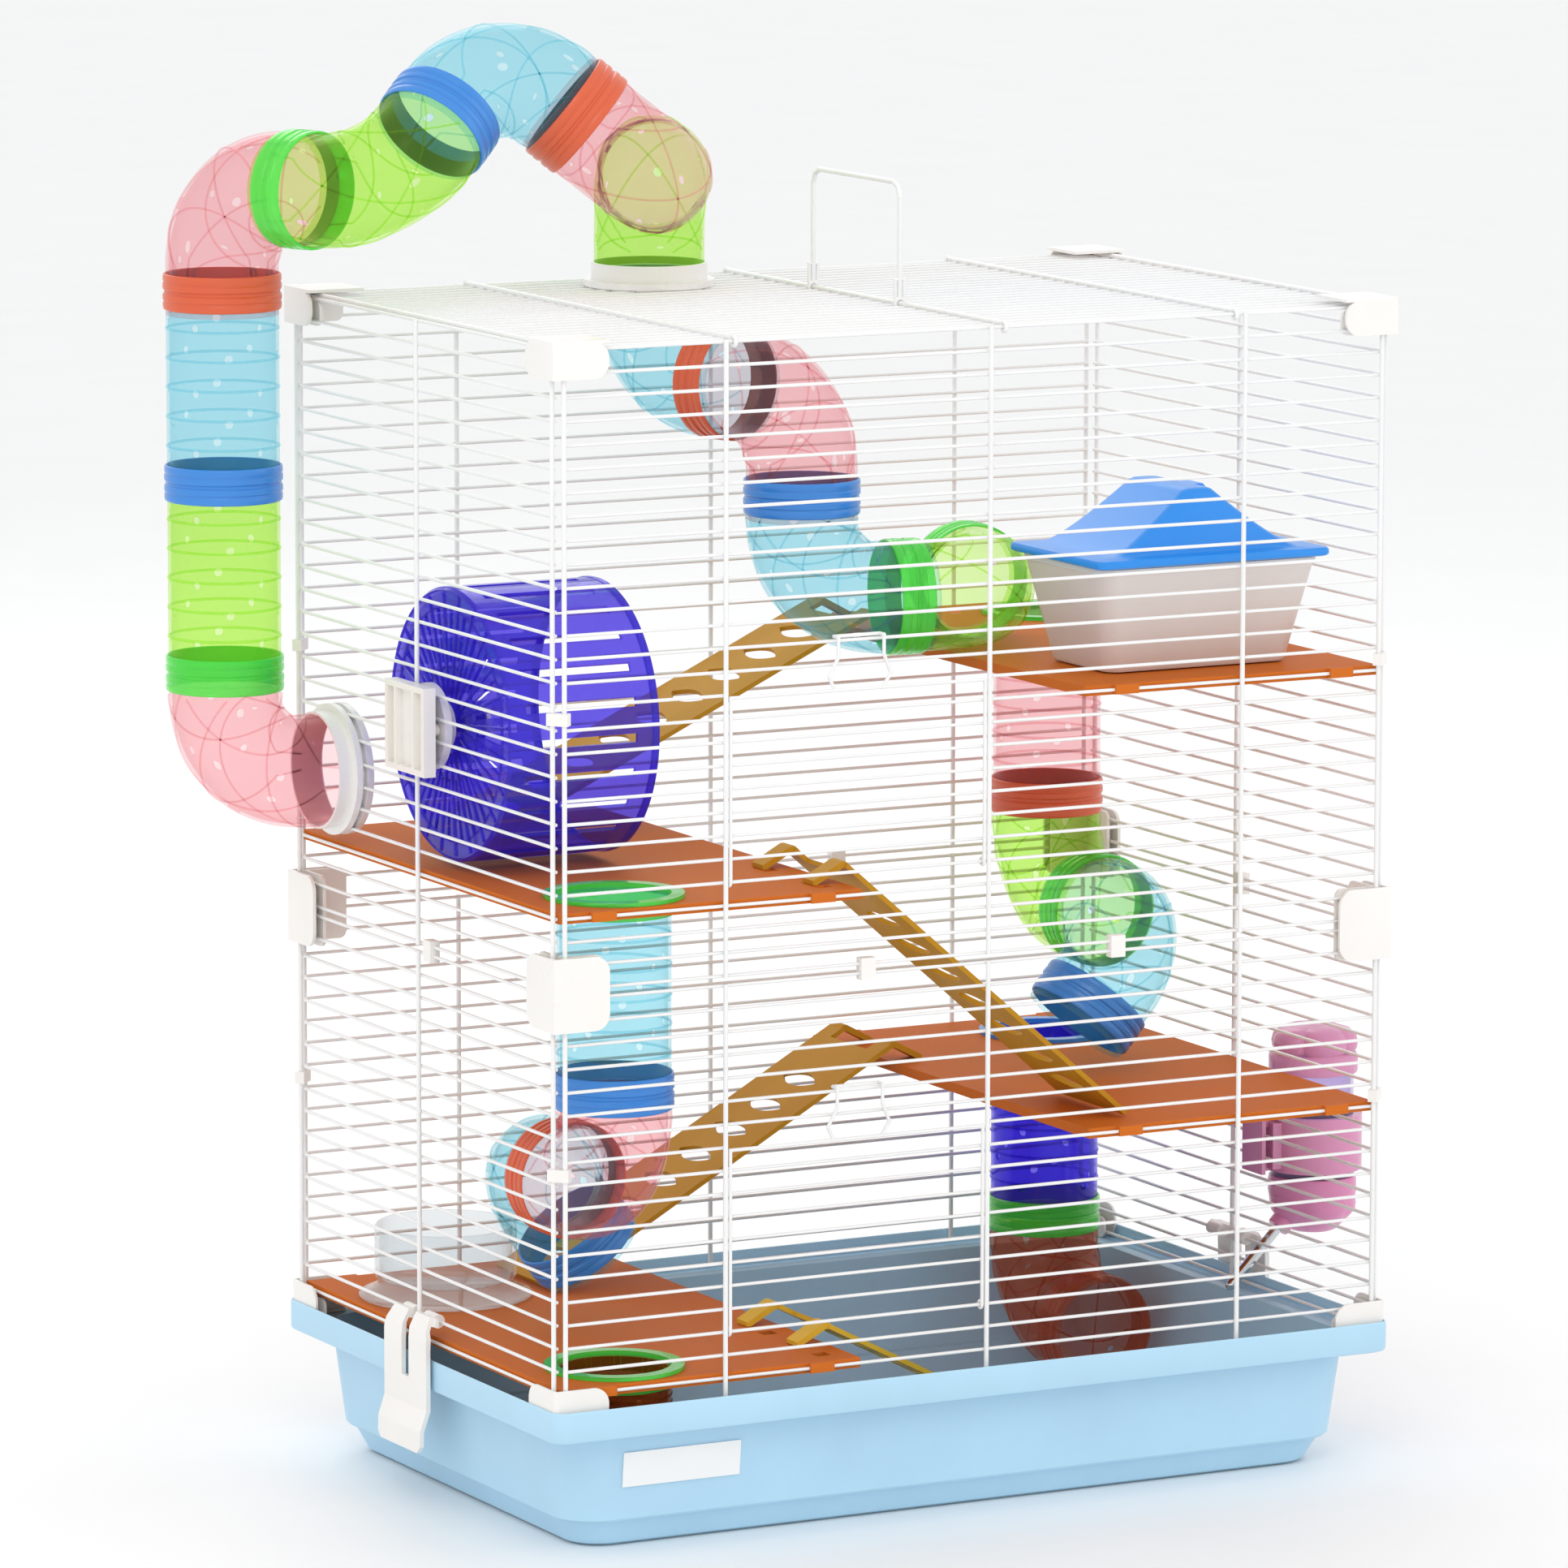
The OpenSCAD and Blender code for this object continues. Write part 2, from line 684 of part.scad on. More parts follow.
module wheel_axle() {
    color("ivory") {
        translate([-228.1, wheel_y, wheel_z]) rotate([0, 90, 0]) cylinder(r = 21.5, h = 4);
        translate([-225, wheel_y, wheel_z]) rotate([0, 90, 0]) cylinder(r = 12, h = 7.5);
        translate([-220, wheel_y, wheel_z]) rotate([0, 90, 0]) cylinder(r = axle_r, h = 22);
        translate([-198.2, wheel_y, wheel_z]) rotate([0, 90, 0]) cylinder(r = 6, h = 3);
    }
}

module wheel_drum() {
    slots = 24;
    skin = 2;
    color("mediumslateblue") translate([wheel_left, wheel_y, wheel_z]) rotate([0, 90, 0]) difference() {
        union() {
            pipe(wheel_r, wheel_r - skin, wheel_w);
            cylinder(r = wheel_r - skin / 2, h = 2.4);
            translate([0, 0, wheel_w - 4]) pipe(wheel_r, wheel_r - 5, 4);
            cylinder(r = 10, h = 16);
        }
        translate([0, 0, -2]) cylinder(r = axle_r + 0.06, h = 24);
        for (i = [0:slots - 1]) rotate([0, 0, i * 360 / slots])
            translate([wheel_r - 6, -2, 12]) cube([12, 4, wheel_w - 26]);
    }
}

// ---- house ----

house_at = [142, -86];
house_z = right_high_wire + shelf_rise + 0.3;
brim_z = house_z + 54;

module house_tub() {
    color("lightgrey") translate([house_at[0], house_at[1], 0]) difference() {
        tapered_block(106, 62, 126, 86, house_z, brim_z, 9);
        tapered_block(102, 58, 122.4, 82.4, house_z + 2, brim_z + 1, 8);
        translate([-17, 20, house_z + 4]) cube([34, 40, 36]);
    }
}

module house_roof() {
    ridge_z = 498;
    color("dodgerblue") translate([house_at[0], house_at[1], 0]) {
        difference() {
            union() {
                translate([0, 0, brim_z + 0.2]) round_slab(134, 94, 4, 5);
                hull() {
                    translate([-52, -38, brim_z + 4]) cube([104, 76, 0.4]);
                    translate([0, -29, ridge_z - 3]) rotate([-90, 0, 0]) cylinder(r = 4, h = 58, $fn = 24);
                }
            }
            hull() {
                translate([-49, -35, brim_z - 1]) cube([98, 70, 1]);
                translate([0, -23, ridge_z - 7]) rotate([-90, 0, 0]) cylinder(r = 2, h = 52, $fn = 24);
            }
        }
        translate([6, -22, ridge_z - 8]) cube([12, 12, 6]);
    }
}

// ---- food dish ----

dish_at = [-180.5, 80.5];

module food_dish() {
    z = left_low_wire + shelf_rise + 0.2;
    color("aliceblue", 0.5) translate([dish_at[0], dish_at[1], z]) difference() {
        union() {
            cylinder(r = 44, h = 2);
            cylinder(r1 = 38, r2 = 34, h = 8);
            cylinder(r = 34, h = 10);
            translate([0, 0, 6]) cylinder(r = 36, h = 31);
        }
        translate([0, 0, 8]) cylinder(r = 33.6, h = 40);
    }
}

// ---- water bottle ----

bottle_r = 21;
spout_start = [bottle_x, bottle_y, spout_z + bottle_x - cage_x];

// turns +Z down the slope of the spout, towards the cage
module down_spout() {
    framed(spout_start, [-sin(45), 0, -cos(45)], [cos(45), 0, -sin(45)]) children();
}

module bottle_body() {
    color("aliceblue", 0.6) translate([bottle_x, bottle_y, 0]) difference() {
        translate([0, 0, 117]) cylinder(r = bottle_r, h = 76.5);
        translate([0, 0, 118.5]) cylinder(r = bottle_r - 1.5, h = 73.5);
    }
}

// five round lobes on a dome
module bottle_cap() {
    color("hotpink") translate([bottle_x, bottle_y, 0]) difference() {
        union() {
            translate([0, 0, 181]) cylinder(r = 23, h = 16);
            for (i = [0:4]) rotate([0, 0, 72 * i]) translate([13, 0, 197]) sphere(r = 8);
            translate([0, 0, 192]) cylinder(r = 12, h = 12);
        }
        translate([0, 0, 180]) cylinder(r = bottle_r + 0.05, h = 14);
    }
}

module bottle_holder() {
    mid = (lower_z(11) + lower_z(12)) / 2;
    color("hotpink") {
        difference() {
            union() {
                translate([bottle_x, bottle_y, mid - 14.3]) cylinder(r = 25.5, h = 28.6);
                translate([233, bottle_y - 9, mid - 12]) cube([12, 18, 24]);
            }
            translate([bottle_x, bottle_y, mid - 16]) cylinder(r = bottle_r + 0.05, h = 32);
        }
        for (dz = [-1, 1]) translate([227.6, bottle_y - 4, mid + dz * pitch - 2]) cube([6, 8, 4]);
        translate([225.9, bottle_y - 10, mid - 14]) cube([2.2, 20, 28]);
    }
}

module bottle_nozzle() {
    color("palevioletred") difference() {
        union() {
            translate([bottle_x, bottle_y, 108]) cylinder(r = 22.6, h = 19);
            translate([bottle_x, bottle_y, 98]) cylinder(r1 = 12.8, r2 = 22.6, h = 10.3);
            down_spout() translate([0, 0, 12]) cylinder(r = 6, h = 17);
        }
        translate([bottle_x, bottle_y, 115.5]) cylinder(r = bottle_r + 0.05, h = 20);
        down_spout() translate([0, 0, 20]) cylinder(r = spout_r + 0.03, h = 20);
    }
}

module bottle_spout() {
    color("silver") down_spout() translate([0, 0, 21]) {
        cylinder(r = spout_r, h = 47);
        translate([0, 0, 47]) sphere(r = spout_r + 0.02);
    }
}

// ---- tubes ----

tube_in = tube_r - tube_wall;
joint_gap = 0.35;

module elbow() {
    straight = elbow_reach - bend_r;
    translate([0, 0, joint_gap]) pipe(tube_r, tube_in, straight - joint_gap);
    translate([bend_r, 0, straight]) rotate([90, 0, 0]) rotate([0, 0, 90]) rotate_extrude(angle = 90)
        translate([bend_r, 0]) difference() {
            circle(r = tube_r);
            circle(r = tube_in);
        }
    translate([bend_r, 0, elbow_reach]) rotate([0, 90, 0]) pipe(tube_r, tube_in, straight - joint_gap);
}

module straight_tube() { translate([0, 0, joint_gap]) pipe(tube_r, tube_in, straight_len - 2 * joint_gap); }

// a connector sleeve with a groove round its middle
module connector() {
    difference() {
        translate([0, 0, -ring_len / 2]) pipe(ring_r, tube_r + 0.05, ring_len);
        translate([0, 0, -0.7]) pipe(ring_r + 1, ring_r - 0.7, 1.4);
    }
}

module lime_elbows() {
    color("yellowgreen") {
        framed(outer_0, Z, out_dir) elbow();
        framed(outer_3, fall_dir, back_dir) elbow();
        framed(run_a_3, run_a_3_dir, run_a_4_dir) elbow();
        framed(run_b_1, -Z, -Y) elbow();
    }
}

module pink_elbows() {
    color("lightpink") {
        framed(outer_1, out_dir, rise_dir) elbow();
        framed(outer_4, back_dir, -Z) elbow();
        framed(outer_7, -Z, X) elbow();
        framed(run_a_1, run_a_1_dir, -Z) elbow();
        framed(run_c_1, -Z, Y) elbow();
    }
}

module blue_elbows() {
    color("skyblue") {
        framed(outer_2, rise_dir, fall_dir) elbow();
        framed(outer_0, -Z, run_a_1_dir) elbow();
        framed(run_a_2, -Z, run_a_3_dir) elbow();
        framed(run_b_2, -Y, run_b_dir) elbow();
        framed(run_c_2, Y, run_c_dir) elbow();
    }
}

module coral_elbow() { color("coral") framed(run_d_1, -Z, -Y) elbow(); }

module blue_straights() {
    color("skyblue") {
        along(outer_5, -Z) straight_tube();
        along(run_c_0, -Z) straight_tube();
    }
}

module lime_straight() { color("yellowgreen") along(outer_6, -Z) straight_tube(); }
module pink_straight() { color("lightpink") along(run_b_0, -Z) straight_tube(); }
module violet_straight() { color("slateblue") along(run_d_0, -Z) straight_tube(); }

module amber_stub() {
    color("peru") translate([left_hole[0], left_hole[1], left_low_wire + shelf_rise - 40])
        pipe(tube_r, tube_in, 39.6);
}

module orange_rings() {
    color("orangered") {
        along(outer_2, rise_dir) connector();
        along(outer_5, Z) connector();
        along(run_a_1, run_a_1_dir) connector();
        along(run_b_1, Z) connector();
        along(run_c_2, Y) connector();
    }
}

module blue_rings() {
    color("royalblue") {
        along(outer_3, fall_dir) connector();
        along(outer_6, Z) connector();
        along(run_a_2, Z) connector();
        along(run_b_3, run_b_dir) connector();
        along(run_c_1, Z) connector();
        along(run_c_3, run_c_dir) connector();
    }
}

module green_rings() {
    color("limegreen") {
        along(outer_4, back_dir) connector();
        along(outer_7, Z) connector();
        along(run_a_3, run_a_3_dir) connector();
        along(run_a_4, run_a_4_dir) connector();
        along(run_b_2, Y) connector();
        along(run_d_1, Z) connector();
    }
}

module coral_ring() { color("coral") along(run_d_2, Y) connector(); }

// a flange with a sleeve, and a nut that clamps it to the wires
module flange(wire_to_joint) {
    sleeve = ring_r + 0.2;
    bore = tube_r + 0.05;
    translate([0, 0, -wire_to_joint + wire_r + 0.3]) pipe(33, bore, 3.2);
    translate([0, 0, -13]) pipe(sleeve, bore, 17);
    translate([0, 0, -wire_to_joint - wire_r - 4]) pipe(33, sleeve + 0.05, 3.4);
}

module top_flange() { color("white") translate(outer_0) flange(joint_z - top_z); }
module side_flange() { color("white") along(outer_8, -X) flange(-(outer_8[0] + cage_x)); }

tray();
tray_label();
front_lower_panel();
front_upper_panel();
back_lower_panel();
back_upper_panel();
left_lower_panel();
left_upper_panel();
right_lower_panel();
right_upper_panel();
top_panel();
top_corner_caps();
seam_corner_clamps();
base_corner_feet();
edge_clips();
seam_clips();
upper_door();
lower_door();
carry_handle();
left_tray_clip();
right_tray_clip();
left_low_shelf();
right_low_shelf();
left_high_shelf();
right_high_shelf();
green_hole_rings();
blue_hole_ring();
tray_ladder();
left_ladder();
middle_ladder();
upper_ladder();
wheel_bracket();
wheel_axle();
wheel_drum();
house_tub();
house_roof();
food_dish();
bottle_body();
bottle_cap();
bottle_holder();
bottle_nozzle();
bottle_spout();
top_flange();
side_flange();
orange_rings();
blue_rings();
green_rings();
coral_ring();
lime_elbows();
pink_elbows();
blue_elbows();
coral_elbow();
blue_straights();
lime_straight();
pink_straight();
violet_straight();
amber_stub();
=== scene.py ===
import json
import math

import bpy
from bpy.props import FloatProperty, IntProperty, PointerProperty
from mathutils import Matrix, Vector


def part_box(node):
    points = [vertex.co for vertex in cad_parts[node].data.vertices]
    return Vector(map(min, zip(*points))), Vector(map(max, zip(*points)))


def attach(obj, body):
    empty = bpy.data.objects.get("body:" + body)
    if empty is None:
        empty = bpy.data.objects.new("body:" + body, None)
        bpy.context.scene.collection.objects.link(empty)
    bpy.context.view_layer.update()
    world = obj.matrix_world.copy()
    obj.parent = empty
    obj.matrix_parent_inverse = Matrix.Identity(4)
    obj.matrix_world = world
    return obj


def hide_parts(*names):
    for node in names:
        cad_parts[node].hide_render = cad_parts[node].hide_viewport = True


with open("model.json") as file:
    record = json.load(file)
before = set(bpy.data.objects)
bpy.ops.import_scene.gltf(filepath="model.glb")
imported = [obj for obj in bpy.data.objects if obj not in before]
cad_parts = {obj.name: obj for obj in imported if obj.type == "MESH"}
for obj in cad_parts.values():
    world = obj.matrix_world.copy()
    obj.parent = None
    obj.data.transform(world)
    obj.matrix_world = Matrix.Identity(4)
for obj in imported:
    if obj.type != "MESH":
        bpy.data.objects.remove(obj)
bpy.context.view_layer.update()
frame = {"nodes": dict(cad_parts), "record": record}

bl_info = {
    "name": "Hamster cage",
    "version": (1, 0, 0),
    "blender": (4, 5, 0),
    "location": "View3D > Sidebar > Cage",
    "description": "Builds the visible pieces and the finishes of a hamster cage around its frame",
    "category": "Object",
}

X, Y, Z = Vector((1, 0, 0)), Vector((0, 1, 0)), Vector((0, 0, 1))
MM = 0.001
# the grid of a tube's wall: points around it, and the length of one cell along it
TUBE_AROUND = 60
TUBE_CELL = 0.0025
# the free length that a tube's end keeps inside its sleeve, and the gap between two tubes
TUBE_COLLAR = 0.011
TUBE_GAP = 0.0004
# the raised mould lines: radius of the bar, points along it, and how far it turns round the tube
LINE_RADIUS = 0.00055
LINE_STEPS = 36
LINE_TWIST = 2.6
CAMERA_PLACE = (-2.19641, -4.10637, 1.06765)
CAMERA_ROLL = math.radians(-0.1)
FLOOR_HALF = 14.0


# ---- shaders ----


class Sock:
    """A shader value that takes part in Python expressions."""

    def __init__(self, paint, link):
        self.paint, self.link = paint, link

    def _math(self, operation, a, b):
        return self.paint.node("ShaderNodeMath", {"operation": operation}, {0: a, 1: b})

    def __add__(self, other):
        return self._math("ADD", self, other)

    def __radd__(self, other):
        return self._math("ADD", other, self)

    def __sub__(self, other):
        return self._math("SUBTRACT", self, other)

    def __mul__(self, other):
        return self._math("MULTIPLY", self, other)

    def __pow__(self, other):
        return self._math("POWER", self, other)

    def clipped(self):
        return self.paint.node("ShaderNodeClamp", {}, {0: self})


class Paint:
    """Builds one material."""

    def __init__(self, name):
        self.material = bpy.data.materials.new(name)
        self.material.use_nodes = True
        self.tree = self.material.node_tree
        self.tree.nodes.clear()

    def node(self, kind, settings, sockets, give=0):
        made = self.tree.nodes.new(kind)
        for key, value in settings.items():
            setattr(made, key, value)
        for key, value in sockets.items():
            if isinstance(value, Sock):
                self.tree.links.new(value.link, made.inputs[key])
            else:
                made.inputs[key].default_value = value
        return Sock(self, made.outputs[give]) if len(made.outputs) else None

    def noise(self, scale, detail=2.0):
        place = self.node("ShaderNodeTexCoord", {}, {}, "Object")
        return self.node(
            "ShaderNodeTexNoise", {}, {"Vector": place, "Scale": scale, "Detail": detail}, "Fac"
        )

    def mix(self, factor, a, b):
        return self.node(
            "ShaderNodeMix", {"data_type": "RGBA"}, {0: factor, 6: a, 7: b}, 2
        )

    def bump(self, height, strength, distance):
        return self.node(
            "ShaderNodeBump", {}, {"Height": height, "Strength": strength, "Distance": distance}
        )

    def finish(self, shader):
        self.node("ShaderNodeOutputMaterial", {}, {"Surface": shader})
        return self.material


def linear(code, k=1.0):
    """A hex colour as linear red, green, blue and alpha, times k."""
    parts = [int(code[i : i + 2], 16) / 255 for i in (1, 3, 5)]
    parts = [c / 12.92 if c <= 0.04045 else ((c + 0.055) / 1.055) ** 2.4 for c in parts]
    return tuple(min(1.0, c * k) for c in parts) + (1.0,)


def moulded(name, code, rough=0.32, grain=0.06, shine=0.5):
    """Injection-moulded plastic: a fine surface grain, soft flow marks, and sharp edges that are smoother
    and painted lighter as a painted highlight.
    """
    paint = Paint(name)
    flow = paint.noise(22.0, 3.0)
    fine = paint.noise(1400.0, 2.0)
    edge = paint.node("ShaderNodeNewGeometry", {}, {}, "Pointiness")
    # the edge mask makes sharp edges smoother (real polish) and lighter in colour (painted highlight)
    edge_polish_and_highlight = ((edge - 0.5) * 6.0).clipped()
    body = paint.mix(flow, linear(code, 0.93), linear(code, 1.05))
    # painted highlight: the colour is lifted on sharp edges where light would catch them, not a colour of
    # the plastic
    body = paint.mix(edge_polish_and_highlight * 0.35, body, linear(code, 1.3))
    sockets = {
        "Base Color": body,
        "Roughness": (rough - 0.05) + flow * 0.1 - edge_polish_and_highlight * 0.08,
        "Normal": paint.bump(fine, grain, 0.0004),
        "IOR": 1.5,
        "Specular IOR Level": shine,
    }
    return paint.finish(paint.node("ShaderNodeBsdfPrincipled", {}, sockets))


def enamel(name, code):
    """Powder-coated wire: orange-peel texture and a soft shine."""
    paint = Paint(name)
    peel = paint.noise(2200.0, 1.0)
    patch = paint.noise(30.0, 2.0)
    sockets = {
        "Base Color": paint.mix(patch, linear(code, 0.95), linear(code, 1.03)),
        "Roughness": 0.26 + patch * 0.12,
        "Normal": paint.bump(peel, 0.08, 0.0003),
        "Coat Weight": 0.25,
        "Coat Roughness": 0.1,
    }
    return paint.finish(paint.node("ShaderNodeBsdfPrincipled", {}, sockets))


def clear(name, body, through, opacity=0.1, edge=0.55, rough=0.05):
    """Tinted clear plastic: light passes through, and the walls look denser where they are seen edge on."""
    paint = Paint(name)
    flow = paint.noise(35.0, 2.0)
    facing = paint.node("ShaderNodeLayerWeight", {}, {"Blend": 0.5}, "Facing")
    wave = paint.bump(flow, 0.12, 0.0015)
    skin = paint.node(
        "ShaderNodeBsdfPrincipled",
        {},
        {
            "Base Color": paint.mix(flow, linear(body, 0.92), linear(body, 1.06)),
            "Roughness": rough + flow * 0.04,
            "Normal": wave,
            "IOR": 1.49,
            "Coat Weight": 0.6,
            "Coat Roughness": 0.03,
        },
    )
    glow = paint.node("ShaderNodeBsdfTransparent", {}, {"Color": linear(through)})
    share = (opacity + flow * 0.03 + (facing**3.0) * edge).clipped()
    return paint.finish(paint.node("ShaderNodeMixShader", {}, {0: share, 1: glow, 2: skin}))


def steel(name):
    """Drawn steel tube with fine marks along it."""
    paint = Paint(name)
    marks = paint.noise(600.0, 4.0)
    sockets = {
        "Base Color": paint.mix(marks, linear("#B9BDC1"), linear("#DADDE0")),
        "Metallic": 1.0,
        "Roughness": 0.14 + marks * 0.12,
    }
    return paint.finish(paint.node("ShaderNodeBsdfPrincipled", {}, sockets))


def all_finishes():
    """Every finish by its material slot in the record."""
    return {
        "tray_plastic": moulded("tray_plastic", "#B4DAF1", 0.38, 0.05, 0.35),
        "label_plate": moulded("label_plate", "#F1F1F0", 0.3, 0.02),
        "wire_paint": enamel("wire_paint", "#F1F1F0"),
        "ivory_plastic": moulded("ivory_plastic", "#F0ECE6", 0.34, 0.04),
        "shelf_orange": moulded("shelf_orange", "#CA6C28", 0.55, 0.05, 0.04),
        "ring_green": clear("ring_green", "#63F45C", "#C2FBBA", 0.46, 0.3, 0.12),
        "ring_blue": moulded("ring_blue", "#3A86D6", 0.26, 0.03),
        "ladder_pale": moulded("ladder_pale", "#DDB43A", 0.5, 0.05, 0.06),
        "ladder_ochre": moulded("ladder_ochre", "#C08C28", 0.5, 0.05, 0.06),
        "wheel_violet": clear("wheel_violet", "#6552E4", "#AEA2F8", 0.28, 0.42),
        "house_white": moulded("house_white", "#E3DFDB", 0.4, 0.05),
        "house_blue": moulded("house_blue", "#2590EC", 0.32, 0.04),
        "dish_clear": clear("dish_clear", "#E8EEF0", "#F6F8F9", 0.04, 0.6),
        "bottle_clear": clear("bottle_clear", "#E4DDF2", "#EFE8F8", 0.08, 0.6),
        "bottle_pink": moulded("bottle_pink", "#D28AB0", 0.28, 0.03),
        "nozzle_pink": moulded("nozzle_pink", "#D987B2", 0.28, 0.03),
        "spout_steel": steel("spout_steel"),
        "flange_white": moulded("flange_white", "#F1EFEC", 0.32, 0.03),
        "ring_orange": moulded("ring_orange", "#D9603C", 0.32, 0.03, 0.4),
        "tube_coral": clear("tube_coral", "#E38E6E", "#FADCD0", 0.09, 0.32),
        "tube_lime": clear("tube_lime", "#C6F46E", "#F0FDD6", 0.03, 0.3),
        "tube_pink": clear("tube_pink", "#FBB4BB", "#FEF0F1", 0.03, 0.3),
        "tube_blue": clear("tube_blue", "#A0E4F4", "#EAF9FC", 0.03, 0.3),
        "tube_violet": clear("tube_violet", "#6A54F2", "#B9B0FE", 0.22, 0.36),
        "tube_amber": clear("tube_amber", "#B9682A", "#EAB98A", 0.2, 0.5),
    }


# ---- meshes ----


class Shape:
    """Gathers points and faces, in metres, and makes one object of them."""

    def __init__(self):
        self.points, self.faces = [], []

    def add(self, points):
        start = len(self.points)
        self.points.extend(points)
        return list(range(start, start + len(points)))

    def band(self, a, b, closed=True):
        """Quads between two rows of points."""
        n = len(a)
        for i in range(n if closed else n - 1):
            self.faces.append((a[i], a[(i + 1) % n], b[(i + 1) % n], b[i]))

    def loops(self, rows, close_rows=False):
        """Quads over a list of closed rows, each a list of points."""
        ids = [self.add(r) for r in rows]
        for a, b in zip(ids, ids[1:]):
            self.band(a, b)
        if close_rows:
            self.band(ids[-1], ids[0])
        return ids

    def lathe(self, profile, at, axis, n=64, lobes=None):
        """Turns a closed profile of (radius, height) round an axis."""
        axis = axis.normalized()
        side = axis.orthogonal().normalized()
        other = axis.cross(side)
        rows = []
        for r, h in profile:
            row = []
            for j in range(n):
                t = 2 * math.pi * j / n
                k = lobes(t, h) if lobes else 1.0
                row.append(at + axis * h + (side * math.cos(t) + other * math.sin(t)) * r * k)
            rows.append(row)
        return self.loops(rows, close_rows=True)

    def wire(self, path, r, n=6):
        """A round bar along a path of points, closed at both ends."""
        rows = []
        tangent = (path[1] - path[0]).normalized()
        side = tangent.orthogonal().normalized()
        for i, p in enumerate(path):
            before, after = path[max(i - 1, 0)], path[min(i + 1, len(path) - 1)]
            tangent = (after - before).normalized()
            side = (side - tangent * side.dot(tangent)).normalized()
            other = tangent.cross(side)
            turns = [2 * math.pi * j / n for j in range(n)]
            rows.append([p + (side * math.cos(t) + other * math.sin(t)) * r for t in turns])
        ids = self.loops(rows)
        self.faces.append(tuple(reversed(ids[0])))
        self.faces.append(tuple(ids[-1]))

    def make(self, name, finish, body, nodes=(), smooth=40.0):
        used = sorted({i for face in self.faces for i in face})
        place = {old: new for new, old in enumerate(used)}
        mesh = bpy.data.meshes.new(name)
        faces = [tuple(place[i] for i in face) for face in self.faces]
        mesh.from_pydata([tuple(self.points[i]) for i in used], [], faces)
        mesh.validate()
        mesh.update()
        piece = bpy.data.objects.new(name, mesh)
        bpy.context.scene.collection.objects.link(piece)
        bpy.context.view_layer.objects.active = piece
        for o in bpy.context.selected_objects:
            o.select_set(False)
        piece.select_set(True)
        bpy.ops.object.mode_set(mode="EDIT")
        bpy.ops.mesh.select_all(action="SELECT")
        bpy.ops.mesh.normals_make_consistent(inside=False)
        bpy.ops.object.mode_set(mode="OBJECT")
        bpy.ops.object.shade_smooth_by_angle(angle=math.radians(smooth))
        mesh.materials.append(finish)
        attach(piece, body)
        if nodes:
            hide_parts(*nodes)
        return piece


def rounded(hx, hy, r, z, at=(0.0, 0.0), n=8):
    """A rounded rectangle of half sizes hx and hy at height z, as a closed row of points.

    It takes millimetres, apart from its place, and gives metres.
    """
    row = []
    for q, (sx, sy) in enumerate(((1, 1), (-1, 1), (-1, -1), (1, -1))):
        for i in range(n + 1):
            t = math.pi / 2 * (q + i / n)
            x = sx * (hx - r) + r * math.cos(t)
            y = sy * (hy - r) + r * math.sin(t)
            row.append(Vector((x * MM + at[0], y * MM + at[1], z * MM)))
    return row


# ---- tubes ----


class Elbow:
    """A quarter bend with a straight collar at each end."""

    def __init__(self, start, into, out, collar=0.012, bend=0.041):
        self.p, self.a, self.b = start, into.normalized(), out.normalized()
        self.collar, self.bend = collar, bend
        self.length = 2 * collar + bend * math.pi / 2

    def at(self, s, turn, r):
        arc = self.bend * math.pi / 2
        if s <= self.collar:
            c, t = self.p + self.a * s, self.a
        elif s < self.collar + arc:
            f = (s - self.collar) / self.bend
            hub = self.p + self.a * self.collar + self.b * self.bend
            c = hub - self.b * self.bend * math.cos(f) + self.a * self.bend * math.sin(f)
            t = self.a * math.cos(f) + self.b * math.sin(f)
        else:
            c = self.p + (self.a + self.b) * (self.collar + self.bend) + self.b * (s - self.collar - arc)
            t = self.b
        flat = self.a.cross(self.b)
        inner = flat.cross(t)
        return c + (inner * math.cos(turn) + flat * math.sin(turn)) * r


class Straight:
    """A straight tube."""

    def __init__(self, start, along, length):
        self.p, self.a, self.length = start, along.normalized(), length
        self.side = self.a.orthogonal().normalized()
        self.other = self.a.cross(self.side)

    def at(self, s, turn, r):
        return self.p + self.a * s + (self.side * math.cos(turn) + self.other * math.sin(turn)) * r


def tube_skin(shape, path, r, wall, holes, hole_r):
    """A tube wall with real vent holes. A hole takes a block of three by three cells."""
    gap, around = TUBE_GAP, TUBE_AROUND
    length = path.length - 2 * gap
    rows = max(6, round(length / TUBE_CELL))
    step, arc = length / rows, 2 * math.pi * r / around
    blocked, corners = set(), {}
    for i, j in holes:
        if i < 1 or i + 4 > rows:
            continue
        corners[(i, j)] = None
        for di in range(3):
            for dj in range(3):
                blocked.add((i + di, (j + dj) % around))
    turn = 2 * math.pi / around
    sides = []
    for radius in (r, r - wall):
        grid = [
            shape.add([path.at(gap + step * i, turn * j, radius) for j in range(around)])
            for i in range(rows + 1)
        ]
        for i in range(rows):
            for j in range(around):
                if (i, j) not in blocked:
                    k = (j + 1) % around
                    shape.faces.append((grid[i][j], grid[i][k], grid[i + 1][k], grid[i + 1][j]))
        rims = {}
        for i, j in corners:
            edge = [(i, j + d) for d in range(3)] + [(i + d, j + 3) for d in range(3)]
            edge += [(i + 3, j + 3 - d) for d in range(3)] + [(i + 3 - d, j) for d in range(3)]
            rim = []
            for ei, ej in edge:
                t = math.atan2((ej - j - 1.5) * arc, (ei - i - 1.5) * step)
                si = i + 1.5 + hole_r / step * math.cos(t)
                sj = j + 1.5 + hole_r / arc * math.sin(t)
                rim.append(path.at(gap + step * si, turn * sj, radius))
            rim = shape.add(rim)
            shape.band([grid[ei][ej % around] for ei, ej in edge], rim)
            rims[(i, j)] = rim
        sides.append((grid, rims))
    (outer, outer_rims), (inner, inner_rims) = sides
    shape.band(outer[0], inner[0])
    shape.band(outer[-1], inner[-1])
    for key in corners:
        shape.band(outer_rims[key], inner_rims[key])


